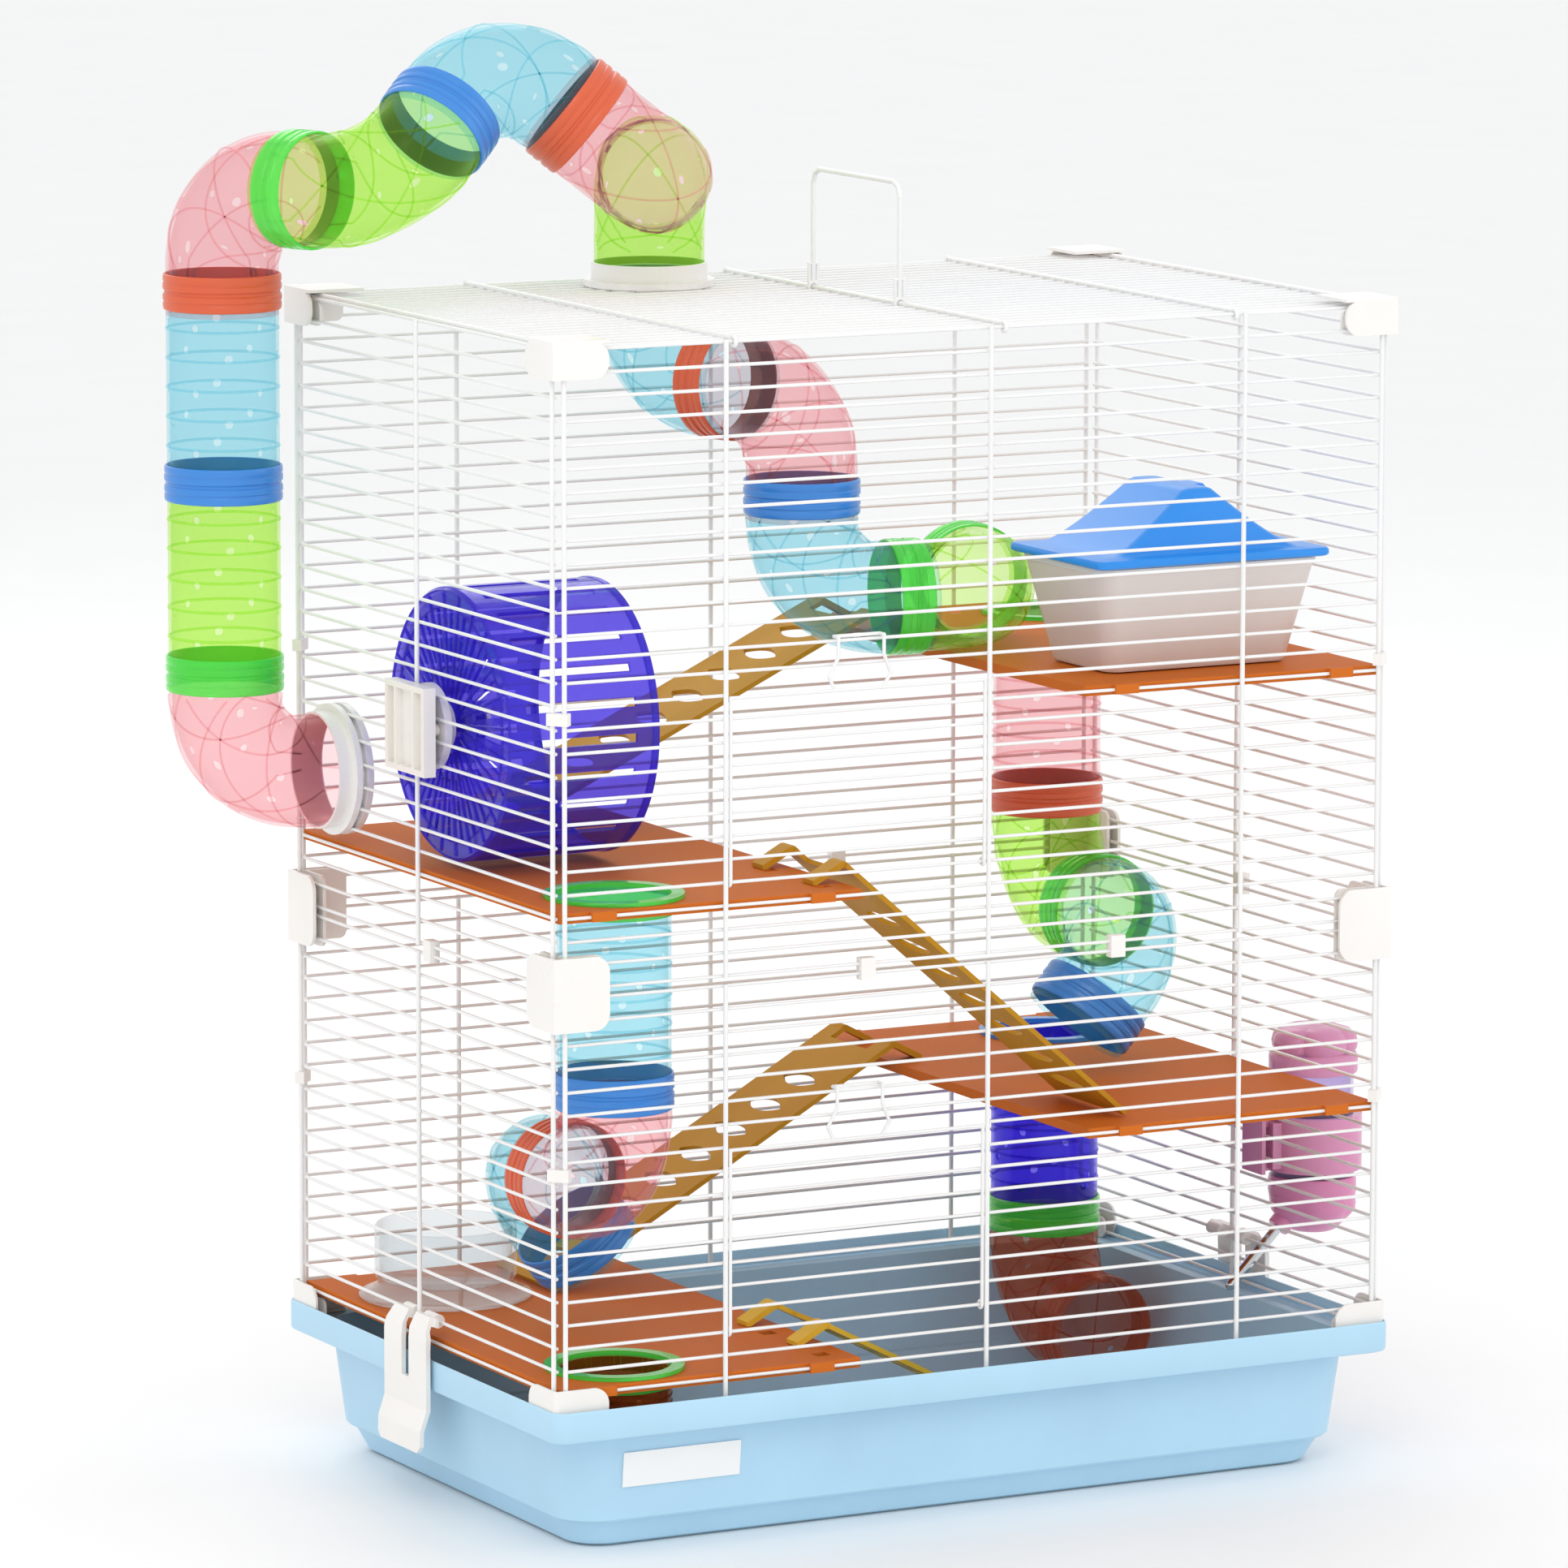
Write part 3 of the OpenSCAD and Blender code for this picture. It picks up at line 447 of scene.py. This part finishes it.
def hole_pattern(path, rows, per_row, odd):
    """Staggered places for vent holes, clear of the end collars."""
    around = TUBE_AROUND
    total = round((path.length - 2 * TUBE_GAP) / TUBE_CELL)
    found = []
    for k in range(rows):
        i = round(5 + (total - 13) * k / max(rows - 1, 1))
        shift = (around // per_row // 2) * ((k + odd) % 2)
        found += [(i, (shift + around // per_row * q) % around) for q in range(per_row)]
    return found


def tube_ribs(shape, path, r, spirals, rings):
    """Raised mould lines: crossing spirals on a bend, rings on a straight."""
    lo, hi = TUBE_COLLAR, path.length - TUBE_COLLAR
    for way in (-1, 1):
        for k in range(spirals):
            start = 2 * math.pi * (k + 0.25 * way) / max(spirals, 1)
            line = []
            for i in range(LINE_STEPS + 1):
                f = i / LINE_STEPS
                along, turn = lo + (hi - lo) * f, start + way * LINE_TWIST * f
                line.append(path.at(along, turn, r + 0.0001))
            shape.wire(line, LINE_RADIUS, 5)
    for k in range(rings):
        s = lo + (hi - lo) * (k + 0.5) / rings
        rows = []
        for dr, ds in ((-0.0006, -0.0007), (0.0005, -0.0003), (0.0005, 0.0003), (-0.0006, 0.0007)):
            turns = [2 * math.pi * j / TUBE_AROUND for j in range(TUBE_AROUND)]
            rows.append([path.at(s + ds, t, r + dr) for t in turns])
        shape.loops(rows, close_rows=True)


class Run:
    """The joints of the tube run, from the places of the frame's own pieces."""

    def __init__(self, reach=0.053, straight=0.095):
        def centre(node):
            lo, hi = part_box(node)
            return (lo + hi) / 2

        top = centre("top_flange")
        start = Vector((top.x, top.y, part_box("top_flange")[1].z - 0.004))
        riser = centre("lime_straight")
        right, left = centre("pink_straight"), centre("amber_stub")
        swing = math.asin(((start.x - riser.x) / (2 * reach) - math.sqrt(2)) / 2)
        level = 1 / (math.sqrt(2) * math.cos(swing))
        climb = math.sqrt(1 - level * level)
        s, c = math.sin(swing), math.cos(swing)
        out, back = Vector((-s, -c, 0)), Vector((-s, c, 0))
        rise, fall = Vector((-level * c, level * s, climb)), Vector((-level * c, -level * s, -climb))
        j1 = start + (Z + out) * reach
        j2 = j1 + (out + rise) * reach
        j3 = j2 + (rise + fall) * reach
        j4 = j3 + (fall + back) * reach
        j5 = j4 + (back - Z) * reach
        j6, j7 = j5 - Z * straight, j5 - Z * straight * 2
        self.side_joint = j7 + (X - Z) * reach

        def flat(degrees):
            return Vector((math.cos(math.radians(degrees)), math.sin(math.radians(degrees)), 0))

        a1, a3, a4 = flat(-71), flat(-10), flat(80)
        p1 = start + (a1 - Z) * reach
        p2 = p1 + (a1 - Z) * reach
        p3 = p2 + (a3 - Z) * reach
        p4 = p3 + (a3 + a4) * reach
        tilt = math.radians(40.5)
        b = Vector((-math.sin(tilt), 0, -math.cos(tilt)))
        q0 = Vector((right.x, right.y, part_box("right_high_shelf")[1].z))
        q1 = q0 - Z * straight
        q2 = q1 + (-Z - Y) * reach
        q3 = q2 + (b - Y) * reach
        d0 = Vector((right.x, right.y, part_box("right_low_shelf")[1].z))
        d1 = d0 - Z * straight
        d2 = d1 + (-Z - Y) * reach
        tilt = math.radians(37.6)
        c3 = Vector((math.sin(tilt), 0, -math.cos(tilt)))
        c0 = Vector((left.x, left.y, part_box("left_high_shelf")[1].z))
        c1 = c0 - Z * straight
        c2 = c1 + (Y - Z) * reach
        c4 = c2 + (Y + c3) * reach
        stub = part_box("amber_stub")
        stub_start = Vector((left.x, left.y, stub[1].z + TUBE_GAP))
        self.top_joint = start
        self.tubes = {
            "lime_elbows": [
                Elbow(start, Z, out), Elbow(j3, fall, back), Elbow(p3, a3, a4), Elbow(q1, -Z, -Y),
            ],
            "pink_elbows": [
                Elbow(j1, out, rise), Elbow(j4, back, -Z), Elbow(j7, -Z, X), Elbow(p1, a1, -Z),
                Elbow(c1, -Z, Y),
            ],
            "blue_elbows": [
                Elbow(j2, rise, fall), Elbow(start, -Z, a1), Elbow(p2, -Z, a3), Elbow(q2, -Y, b),
                Elbow(c2, Y, c3),
            ],
            "coral_elbow": [Elbow(d1, -Z, -Y)],
            "blue_straights": [Straight(j5, -Z, straight), Straight(c0, -Z, straight)],
            "lime_straight": [Straight(j6, -Z, straight)],
            "pink_straight": [Straight(q0, -Z, straight)],
            "violet_straight": [Straight(d0, -Z, straight)],
            "amber_stub": [Straight(stub_start, -Z, stub[1].z - stub[0].z + 2 * TUBE_GAP)],
        }
        self.rings = {
            "orange_rings": [(j2, rise), (j5, Z), (p1, a1), (q1, Z), (c2, Y)],
            "blue_rings": [(j3, fall), (j6, Z), (p2, Z), (q3, b), (c1, Z), (c4, c3)],
            "green_rings": [(j4, back), (j7, Z), (p3, a3), (p4, a4), (q2, Y), (d1, Z)],
            "coral_ring": [(d2, Y)],
        }


TUBE_SLOTS = {
    "lime_elbows": "tube_lime", "pink_elbows": "tube_pink", "blue_elbows": "tube_blue",
    "coral_elbow": "tube_coral", "blue_straights": "tube_blue", "lime_straight": "tube_lime",
    "pink_straight": "tube_pink", "violet_straight": "tube_violet", "amber_stub": "tube_amber",
}
RING_SLOTS = {
    "orange_rings": "ring_orange", "blue_rings": "ring_blue", "green_rings": "ring_green",
    "coral_ring": "tube_coral",
}
FINISHES = {}


# ---- settings ----


class CageTubeSettings(bpy.types.PropertyGroup):
    """Sizes of the clear tubes."""

    radius: FloatProperty(name="Radius", description="Outer radius of a tube", default=0.028, unit="LENGTH")
    wall: FloatProperty(name="Wall", description="Thickness of a tube's wall", default=0.0016, unit="LENGTH")
    hole: FloatProperty(name="Vent", description="Radius of a vent hole", default=0.0022, unit="LENGTH")
    spirals: IntProperty(name="Spirals", description="Mould lines each way on a bend", default=4)
    rings: IntProperty(name="Rings", description="Mould rings on a straight tube", default=5)


class CageStageSettings(bpy.types.PropertyGroup):
    """The floor, the lights and the camera."""

    azimuth: FloatProperty(
        name="Azimuth", description="Turn of the camera", default=math.radians(-27.797), subtype="ANGLE"
    )
    elevation: FloatProperty(
        name="Elevation", description="Tilt of the camera", default=math.radians(8.828), subtype="ANGLE"
    )
    lens: FloatProperty(name="Lens", description="Focal length in millimetres", default=215.26)
    light: FloatProperty(name="Light", description="Strength of the surrounding light", default=1.0)


# ---- operators ----


class CAGE_OT_finishes(bpy.types.Operator):
    """Makes every finish and puts it on the frame's own pieces"""

    bl_idname = "cage.finishes"
    bl_label = "Finishes"

    def execute(self, context):
        FINISHES.update(all_finishes())
        for row in frame["record"]["subparts"]:
            node = frame["nodes"][row["node"]]
            node.data.materials.clear()
            node.data.materials.append(FINISHES[row["material_slot"]])
        return {"FINISHED"}


class CAGE_OT_tubes(bpy.types.Operator):
    """Builds the clear bends and straight tubes with their vents and mould lines"""

    bl_idname = "cage.tubes"
    bl_label = "Tubes"

    def execute(self, context):
        s = context.scene.cage_tubes
        run = Run()
        for node, paths in run.tubes.items():
            shape = Shape()
            for k, path in enumerate(paths):
                bent = isinstance(path, Elbow)
                rows = 4 if bent else max(2, round(path.length / 0.019))
                holes = hole_pattern(path, rows, 4 if bent else 5, k)
                tube_skin(shape, path, s.radius, s.wall, holes, s.hole)
                tube_ribs(shape, path, s.radius, s.spirals if bent else 0, 0 if bent else s.rings)
            shape.make(node + "_look", FINISHES[TUBE_SLOTS[node]], "cage", (node,))
        return {"FINISHED"}


class CAGE_OT_connectors(bpy.types.Operator):
    """Builds the coloured sleeves that join the tubes"""

    bl_idname = "cage.connectors"
    bl_label = "Connectors"

    def execute(self, context):
        profile = [
            (28.06, -8.7), (28.5, -9.0), (29.1, -8.6), (29.35, -7.6), (29.35, -5.6), (29.05, -5.0),
            (29.05, -4.4), (29.45, -3.8), (29.45, -1.6), (29.1, -1.0), (28.7, -0.7), (28.7, 0.7),
            (29.1, 1.0), (29.45, 1.6), (29.45, 3.8), (29.05, 4.4), (29.05, 5.0), (29.35, 5.6),
            (29.35, 7.6), (29.1, 8.6), (28.5, 9.0), (28.06, 8.7),
        ]
        run = Run()
        for node, places in run.rings.items():
            shape = Shape()
            for at, axis in places:
                shape.lathe([(r * MM, h * MM) for r, h in profile], at, axis, 72)
            shape.make(node + "_look", FINISHES[RING_SLOTS[node]], "cage", (node,), 30)
        return {"FINISHED"}


class CAGE_OT_tray(bpy.types.Operator):
    """Builds the deep tray with its stepped wall and turned-over rim"""

    bl_idname = "cage.tray"
    bl_label = "Tray"

    def execute(self, context):
        rows = [
            (203, 122, 14, 0.0), (206, 125, 17, 0.4), (208.8, 128, 19, 2.0), (210.2, 129.6, 20, 5.0),
            (213.6, 133, 20, 12.6), (214.2, 133.6, 20.5, 13.8), (217, 136.4, 22, 14.4),
            (218, 137.4, 22, 15.6), (222.2, 141.7, 22, 56.6), (223.2, 142.6, 22, 58.6),
            (226, 145.2, 20, 59.5), (233.6, 152.8, 9, 59.4), (234.7, 154.0, 7.4, 60.0),
            (235, 154.5, 7, 61.2), (235, 154.5, 7, 73.6), (234.8, 154.3, 7, 74.7),
            (234.4, 153.9, 6.6, 75.0), (234.05, 153.55, 6.1, 74.6), (234, 153.5, 6, 73.8),
            (234, 153.5, 6, 68.6), (233.7, 153.2, 6, 67.6), (223, 142.4, 20, 67.5),
            (221.6, 141.0, 20, 66.6), (220.6, 140.0, 20, 57), (216.4, 135.8, 20, 18.2),
            (215.6, 135.0, 19.6, 17.1), (213.2, 132.6, 18.6, 16.6), (212.4, 131.8, 18, 15.6),
            (209.6, 129, 18, 7.6), (207.8, 127.2, 17, 4.2), (204, 123.4, 14, 2.5),
        ]
        shape = Shape()
        ids = shape.loops([rounded(hx, hy, r, z, n=10) for hx, hy, r, z in rows])
        shape.faces.append(tuple(reversed(ids[0])))
        shape.faces.append(tuple(ids[-1]))
        shape.make("tray_look", FINISHES["tray_plastic"], "base", ("tray",), 32)
        return {"FINISHED"}


class CAGE_OT_wheel(bpy.types.Operator):
    """Builds the slotted wheel with its ribbed back"""

    bl_idname = "cage.wheel"
    bl_label = "Wheel"

    def execute(self, context):
        lo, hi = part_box("wheel_drum")
        mid = (lo + hi) / 2
        radius, width, skin, n = (hi.z - lo.z) / 2, hi.x - lo.x, 0.0022, 96

        def place(x, t, r):
            return Vector((lo.x + x, mid.y + r * math.cos(t), mid.z + r * math.sin(t)))

        shape = Shape()
        turns = [2 * math.pi * j / n for j in range(n)]
        # stations along the rim, then inwards over the back
        rim = [(0.0, radius - 0.0012), (0.0012, radius), (0.009, radius)]
        rim += [(width - 0.012, radius), (width, radius)]
        back = [(0.0, radius - 0.010), (0.0, 0.028), (0.0, 0.012)]
        outer = [(x, r) for x, r in reversed(back)] + rim
        inner = [(skin, r - 0.0002) for _, r in reversed(back)]
        inner += [(skin, radius - skin - 0.001), (skin + 0.001, radius - skin), (0.009, radius - skin)]
        inner += [(width - 0.012, radius - skin), (width, radius - skin)]
        a = [shape.add([place(x, t, r) for t in turns]) for x, r in outer]
        b = [shape.add([place(x, t, r) for t in turns]) for x, r in inner]
        for i in range(len(outer) - 1):
            slotted = i in (1, 5)
            for j in range(n):
                k = (j + 1) % n
                open_here = slotted and j % 4 == 0
                if open_here:
                    shape.faces.append((a[i][j], a[i + 1][j], b[i + 1][j], b[i][j]))
                    shape.faces.append((a[i][k], b[i][k], b[i + 1][k], a[i + 1][k]))
                    shape.faces.append((a[i][j], b[i][j], b[i][k], a[i][k]))
                    shape.faces.append((a[i + 1][j], a[i + 1][k], b[i + 1][k], b[i + 1][j]))
                else:
                    shape.faces.append((a[i][j], a[i][k], a[i + 1][k], a[i + 1][j]))
                    shape.faces.append((b[i][j], b[i + 1][j], b[i + 1][k], b[i][k]))
        shape.band(a[-1], b[-1])
        # hub that turns on the axle
        shape.band(a[0], b[0])
        hub = [(4.1, -0.6), (9.4, -0.6), (12.4, 0.4), (12.4, 2.2), (10.2, 3.4), (9.6, 15.6)]
        hub += [(9.0, 16.2), (4.1, 16.2)]
        centre = Vector((lo.x, mid.y, mid.z))
        shape.lathe([(r * MM, h * MM) for r, h in hub], centre, X, 48)
        # radial ribs and two ring ribs on the back
        for j in range(24):
            t = 2 * math.pi * (j + 0.62) / 24
            shape.wire([place(-0.0002, t, r) for r in (0.014, 0.040, radius - 0.003)], 0.0009, 6)
        for r in (28.0, 58.0, 66.4):
            ridge = [((r - 0.9) * MM, 0.0005), (r * MM, -0.0008), ((r + 0.9) * MM, 0.0005)]
            shape.lathe(ridge, centre, X, 96)
        # rolled lip at the open end
        lip = [(66.0, -3.2), (68.2, -3.4), (68.6, -1.8), (68.2, -0.1), (65.8, 0.0), (65.2, -1.6)]
        shape.lathe([(r * MM, h * MM) for r, h in lip], Vector((hi.x, mid.y, mid.z)), X, 96)
        finish = FINISHES["wheel_violet"]
        shape.make("wheel_drum_look", finish, "wheel", ("wheel_drum",), 30)
        return {"FINISHED"}


class CAGE_OT_house(bpy.types.Operator):
    """Builds the house's tapered tub and its ridged lid"""

    bl_idname = "cage.house"
    bl_label = "House"

    def execute(self, context):
        lo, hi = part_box("house_tub")
        at = ((lo.x + hi.x) / 2, (lo.y + hi.y) / 2)
        z0, z1 = lo.z / MM, hi.z / MM
        rows = [
            (49, 27, 6, z0), (51.4, 29.4, 7.6, z0 + 0.5), (52.8, 30.8, 8.6, z0 + 2.2),
            (62.0, 42.0, 9, z1 - 4), (62.4, 42.4, 9, z1 - 3.4), (63.0, 43.0, 9, z1 - 3.0),
            (63.0, 43.0, 9, z1 - 0.5), (62.4, 42.4, 8.6, z1), (61.2, 41.2, 8, z1),
            (60.6, 40.6, 8, z1 - 0.8), (51.4, 29.4, 7, z0 + 4), (48, 26, 5, z0 + 2),
        ]
        tub = Shape()
        ids = tub.loops([rounded(hx, hy, r, z, at) for hx, hy, r, z in rows])
        tub.faces.append(tuple(reversed(ids[0])))
        tub.faces.append(tuple(ids[-1]))
        tub.make("house_tub_look", FINISHES["house_white"], "cage", ("house_tub",), 32)
        lo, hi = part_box("house_roof")
        z2, top = lo.z / MM, hi.z / MM
        rows = [(65.4, 45.4, 4.4, z2), (66.6, 46.6, 5, z2 + 0.6), (67, 47, 5.4, z2 + 1.6)]
        rows += [(66.8, 46.8, 5.2, z2 + 3.4), (66.0, 46.0, 5, z2 + 4.3), (53.5, 39.5, 5, z2 + 4.6)]
        rows += [(51.6, 37.8, 5, z2 + 5.4)]
        for i in range(1, 15):
            t = i / 14
            z = z2 + 5.4 + (top - z2 - 7.4) * t**1.22
            rows.append((51.6 - 42.0 * t, 37.8 - 8.4 * t, 5 - 1.0 * t, z))
        rows += [(8.4, 28.6, 3.6, top - 0.9), (6.6, 27.4, 3.2, top - 0.2), (4.6, 26.2, 2.6, top)]
        roof = Shape()
        ids = roof.loops([rounded(hx, hy, r, z, at) for hx, hy, r, z in rows])
        roof.faces.append(tuple(ids[-1]))
        under = [(63.6, 43.6, 4, z2), (63.0, 43.0, 4, z2 + 1.4), (20, 20, 4, z2 + 2.4)]
        inner = roof.loops([rounded(hx, hy, r, z, at) for hx, hy, r, z in under])
        roof.band(ids[0], inner[0])
        roof.faces.append(tuple(reversed(inner[-1])))
        knob_at = (at[0] + 0.012, at[1] + 0.004)
        knob = ((8, top - 9), (7.2, top - 3), (5.6, top - 1.4))
        ids = roof.loops([rounded(hx, 7.5, 2, z, knob_at, 4) for hx, z in knob])
        roof.faces.append(tuple(reversed(ids[0])))
        roof.faces.append(tuple(ids[-1]))
        roof.make("house_roof_look", FINISHES["house_blue"], "roof", ("house_roof",), 38)
        return {"FINISHED"}


class CAGE_OT_dish(bpy.types.Operator):
    """Builds the clear food dish"""

    bl_idname = "cage.dish"
    bl_label = "Dish"

    def execute(self, context):
        lo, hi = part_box("food_dish")
        at = Vector(((lo.x + hi.x) / 2, (lo.y + hi.y) / 2, lo.z))
        profile = [
            (0.02, 0.0), (41.5, 0.0), (43.6, 0.4), (44.0, 1.2), (43.2, 2.0), (39.5, 2.6), (36.6, 4.6),
            (34.4, 7.4), (34.6, 9.4), (35.6, 10.6), (36.0, 12.0), (36.0, 34.4), (35.6, 36.4), (34.8, 37.0),
            (34.0, 36.2), (33.7, 34.4), (33.6, 13.0), (32.6, 9.4), (29.6, 7.8), (0.02, 7.6),
        ]
        shape = Shape()
        shape.lathe([(r * MM, h * MM) for r, h in profile], at, Z, 96)
        shape.make("food_dish_look", FINISHES["dish_clear"], "dish", ("food_dish",), 30)
        return {"FINISHED"}


class CAGE_OT_bottle(bpy.types.Operator):
    """Builds the water bottle with its lobed caps"""

    bl_idname = "cage.bottle"
    bl_label = "Bottle"

    def execute(self, context):
        lo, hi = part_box("bottle_body")
        at = Vector(((lo.x + hi.x) / 2, (lo.y + hi.y) / 2, 0))

        def turned(name, profile, slot, nodes, lobes=None):
            shape = Shape()
            shape.lathe([(r * MM, h * MM) for r, h in profile], at, Z, 80, lobes)
            return shape.make(name, FINISHES[slot], "cage", nodes, 34)

        def cap_lobes(t, h):
            return 1.0 if h < 0.1915 or h == 0.1944 else 0.88 + 0.12 * abs(math.cos(2.5 * t)) ** 0.7

        def neck_lobes(t, h):
            return 0.94 + 0.06 * abs(math.cos(2.5 * t)) if 0.105 < h < 0.1154 else 1.0

        turned(
            "bottle_body_look",
            [
                (0.02, 117.2), (18.6, 117.2), (20.4, 118.4), (21, 120.6), (21, 160.4), (20.3, 161.4),
                (20.3, 163.0), (21, 164.0), (21, 190), (20.2, 192.6), (18.0, 193.4), (0.02, 193.4),
                (0.02, 191.9), (18.6, 191.9), (19.6, 190), (19.6, 121), (18.4, 118.8), (0.02, 118.7),
            ],
            "bottle_clear",
            ("bottle_body",),
        )
        turned(
            "bottle_cap_look",
            [
                (21.06, 181.2), (22.6, 181.0), (23.0, 182.0), (23.0, 189.4), (22.2, 190.6), (21.6, 191.6),
                (22.6, 193.6), (23.0, 196.4), (22.0, 200.0), (18.6, 203.2), (12.6, 205.0), (6.0, 204.4),
                (2.0, 205.4), (0.02, 205.6), (0.02, 194.4), (21.06, 194.4),
            ],
            "bottle_pink",
            ("bottle_cap",),
            cap_lobes,
        )
        neck = Shape()
        profile = [
            (0.02, 98.2), (11.0, 98.0), (12.8, 98.8), (15.6, 101.4), (20.4, 106.2), (22.4, 108.8),
            (22.8, 112.0), (22.2, 115.4), (22.8, 118.6), (22.8, 124.6), (22.2, 126.6), (21.08, 127.0),
            (21.08, 115.6), (0.02, 115.6),
        ]
        neck.lathe([(r * MM, h * MM) for r, h in profile], at, Z, 80, neck_lobes)
        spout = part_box("bottle_spout")
        slope = Vector((-1, 0, -1)).normalized()
        tip = Vector((spout[0].x, at.y, spout[0].z)) + Vector((0.0019, 0, 0.0019))
        reach = (at.x - tip.x) * math.sqrt(2)
        collar = [(2.75, -29.0), (5.4, -29.0), (6.0, -28.2), (6.0, -22.0), (6.6, -14.0)]
        collar += [(6.6, -10.0), (2.75, -10.0)]
        neck.lathe([(r * MM, -h * MM) for r, h in collar], tip - slope * reach, slope, 40)
        finish = FINISHES["nozzle_pink"]
        neck.make("bottle_nozzle_look", finish, "cage", ("bottle_nozzle",), 34)
        return {"FINISHED"}


class CAGE_OT_stage(bpy.types.Operator):
    """Sets up the floor, the soft lights and the camera"""

    bl_idname = "cage.stage"
    bl_label = "Stage"

    def execute(self, context):
        s = context.scene.cage_stage
        paint = Paint("stage_floor")
        speck = paint.noise(8.0, 2.0)
        sockets = {
            "Base Color": paint.mix(speck, (0.9, 0.9, 0.9, 1), (0.93, 0.93, 0.93, 1)),
            "Roughness": 0.55 + speck * 0.1,
        }
        floor_paint = paint.finish(paint.node("ShaderNodeBsdfPrincipled", {}, sockets))
        mesh = bpy.data.meshes.new("stage_floor")
        w = FLOOR_HALF
        mesh.from_pydata([(-w, -w, 0), (w, -w, 0), (w, w, 0), (-w, w, 0)], [], [(0, 1, 2, 3)])
        mesh.materials.append(floor_paint)
        floor = bpy.data.objects.new("stage_floor", mesh)
        context.scene.collection.objects.link(floor)
        world = bpy.data.worlds.new("stage_world")
        world.use_nodes = True
        back = world.node_tree.nodes["Background"]
        back.inputs["Color"].default_value = (0.99, 0.995, 1.0, 1)
        back.inputs["Strength"].default_value = s.light
        context.scene.world = world
        for name, place, size, power in (
            ("stage_key", (-1.6, -2.2, 2.4), 1.6, 17.0),
            ("stage_fill", (2.4, -1.8, 1.4), 2.0, 6.0),
            ("stage_rim", (0.6, 2.4, 2.2), 1.6, 12.0),
        ):
            data = bpy.data.lights.new(name, "AREA")
            data.size, data.energy = size, power
            lamp = bpy.data.objects.new(name, data)
            lamp.location = place
            lamp.rotation_euler = (Vector((0, 0, 0.3)) - Vector(place)).to_track_quat("-Z", "Y").to_euler()
            context.scene.collection.objects.link(lamp)
        data = bpy.data.cameras.new("stage_camera")
        data.lens, data.sensor_width = s.lens, 36.0
        data.clip_start, data.clip_end = 0.05, 100.0
        camera = bpy.data.objects.new("stage_camera", data)
        camera.location = CAMERA_PLACE
        camera.rotation_euler = (math.pi / 2 - s.elevation, CAMERA_ROLL, s.azimuth)
        context.scene.collection.objects.link(camera)
        context.scene.camera = camera
        context.scene.view_settings.view_transform = "Standard"
        return {"FINISHED"}


class CAGE_PT_panel(bpy.types.Panel):
    """Buttons for each group of pieces"""

    bl_idname = "CAGE_PT_panel"
    bl_label = "Hamster cage"
    bl_space_type = "VIEW_3D"
    bl_region_type = "UI"
    bl_category = "Cage"

    def draw(self, context):
        for operator in OPERATORS:
            self.layout.operator(operator.bl_idname)
        for group in (context.scene.cage_tubes, context.scene.cage_stage):
            for key in type(group).__annotations__:
                self.layout.prop(group, key)


OPERATORS = (
    CAGE_OT_finishes,
    CAGE_OT_tray,
    CAGE_OT_tubes,
    CAGE_OT_connectors,
    CAGE_OT_wheel,
    CAGE_OT_house,
    CAGE_OT_dish,
    CAGE_OT_bottle,
    CAGE_OT_stage,
)
CLASSES = (CageTubeSettings, CageStageSettings) + OPERATORS + (CAGE_PT_panel,)


def register():
    for c in CLASSES:
        bpy.utils.register_class(c)
    bpy.types.Scene.cage_tubes = PointerProperty(type=CageTubeSettings)
    bpy.types.Scene.cage_stage = PointerProperty(type=CageStageSettings)


def unregister():
    del bpy.types.Scene.cage_stage
    del bpy.types.Scene.cage_tubes
    for c in reversed(CLASSES):
        bpy.utils.unregister_class(c)


def main():
    register()
    bpy.ops.cage.finishes()
    bpy.ops.cage.tray()
    bpy.ops.cage.tubes()
    bpy.ops.cage.connectors()
    bpy.ops.cage.wheel()
    bpy.ops.cage.house()
    bpy.ops.cage.dish()
    bpy.ops.cage.bottle()
    bpy.ops.cage.stage()


if __name__ == "__main__":
    main()
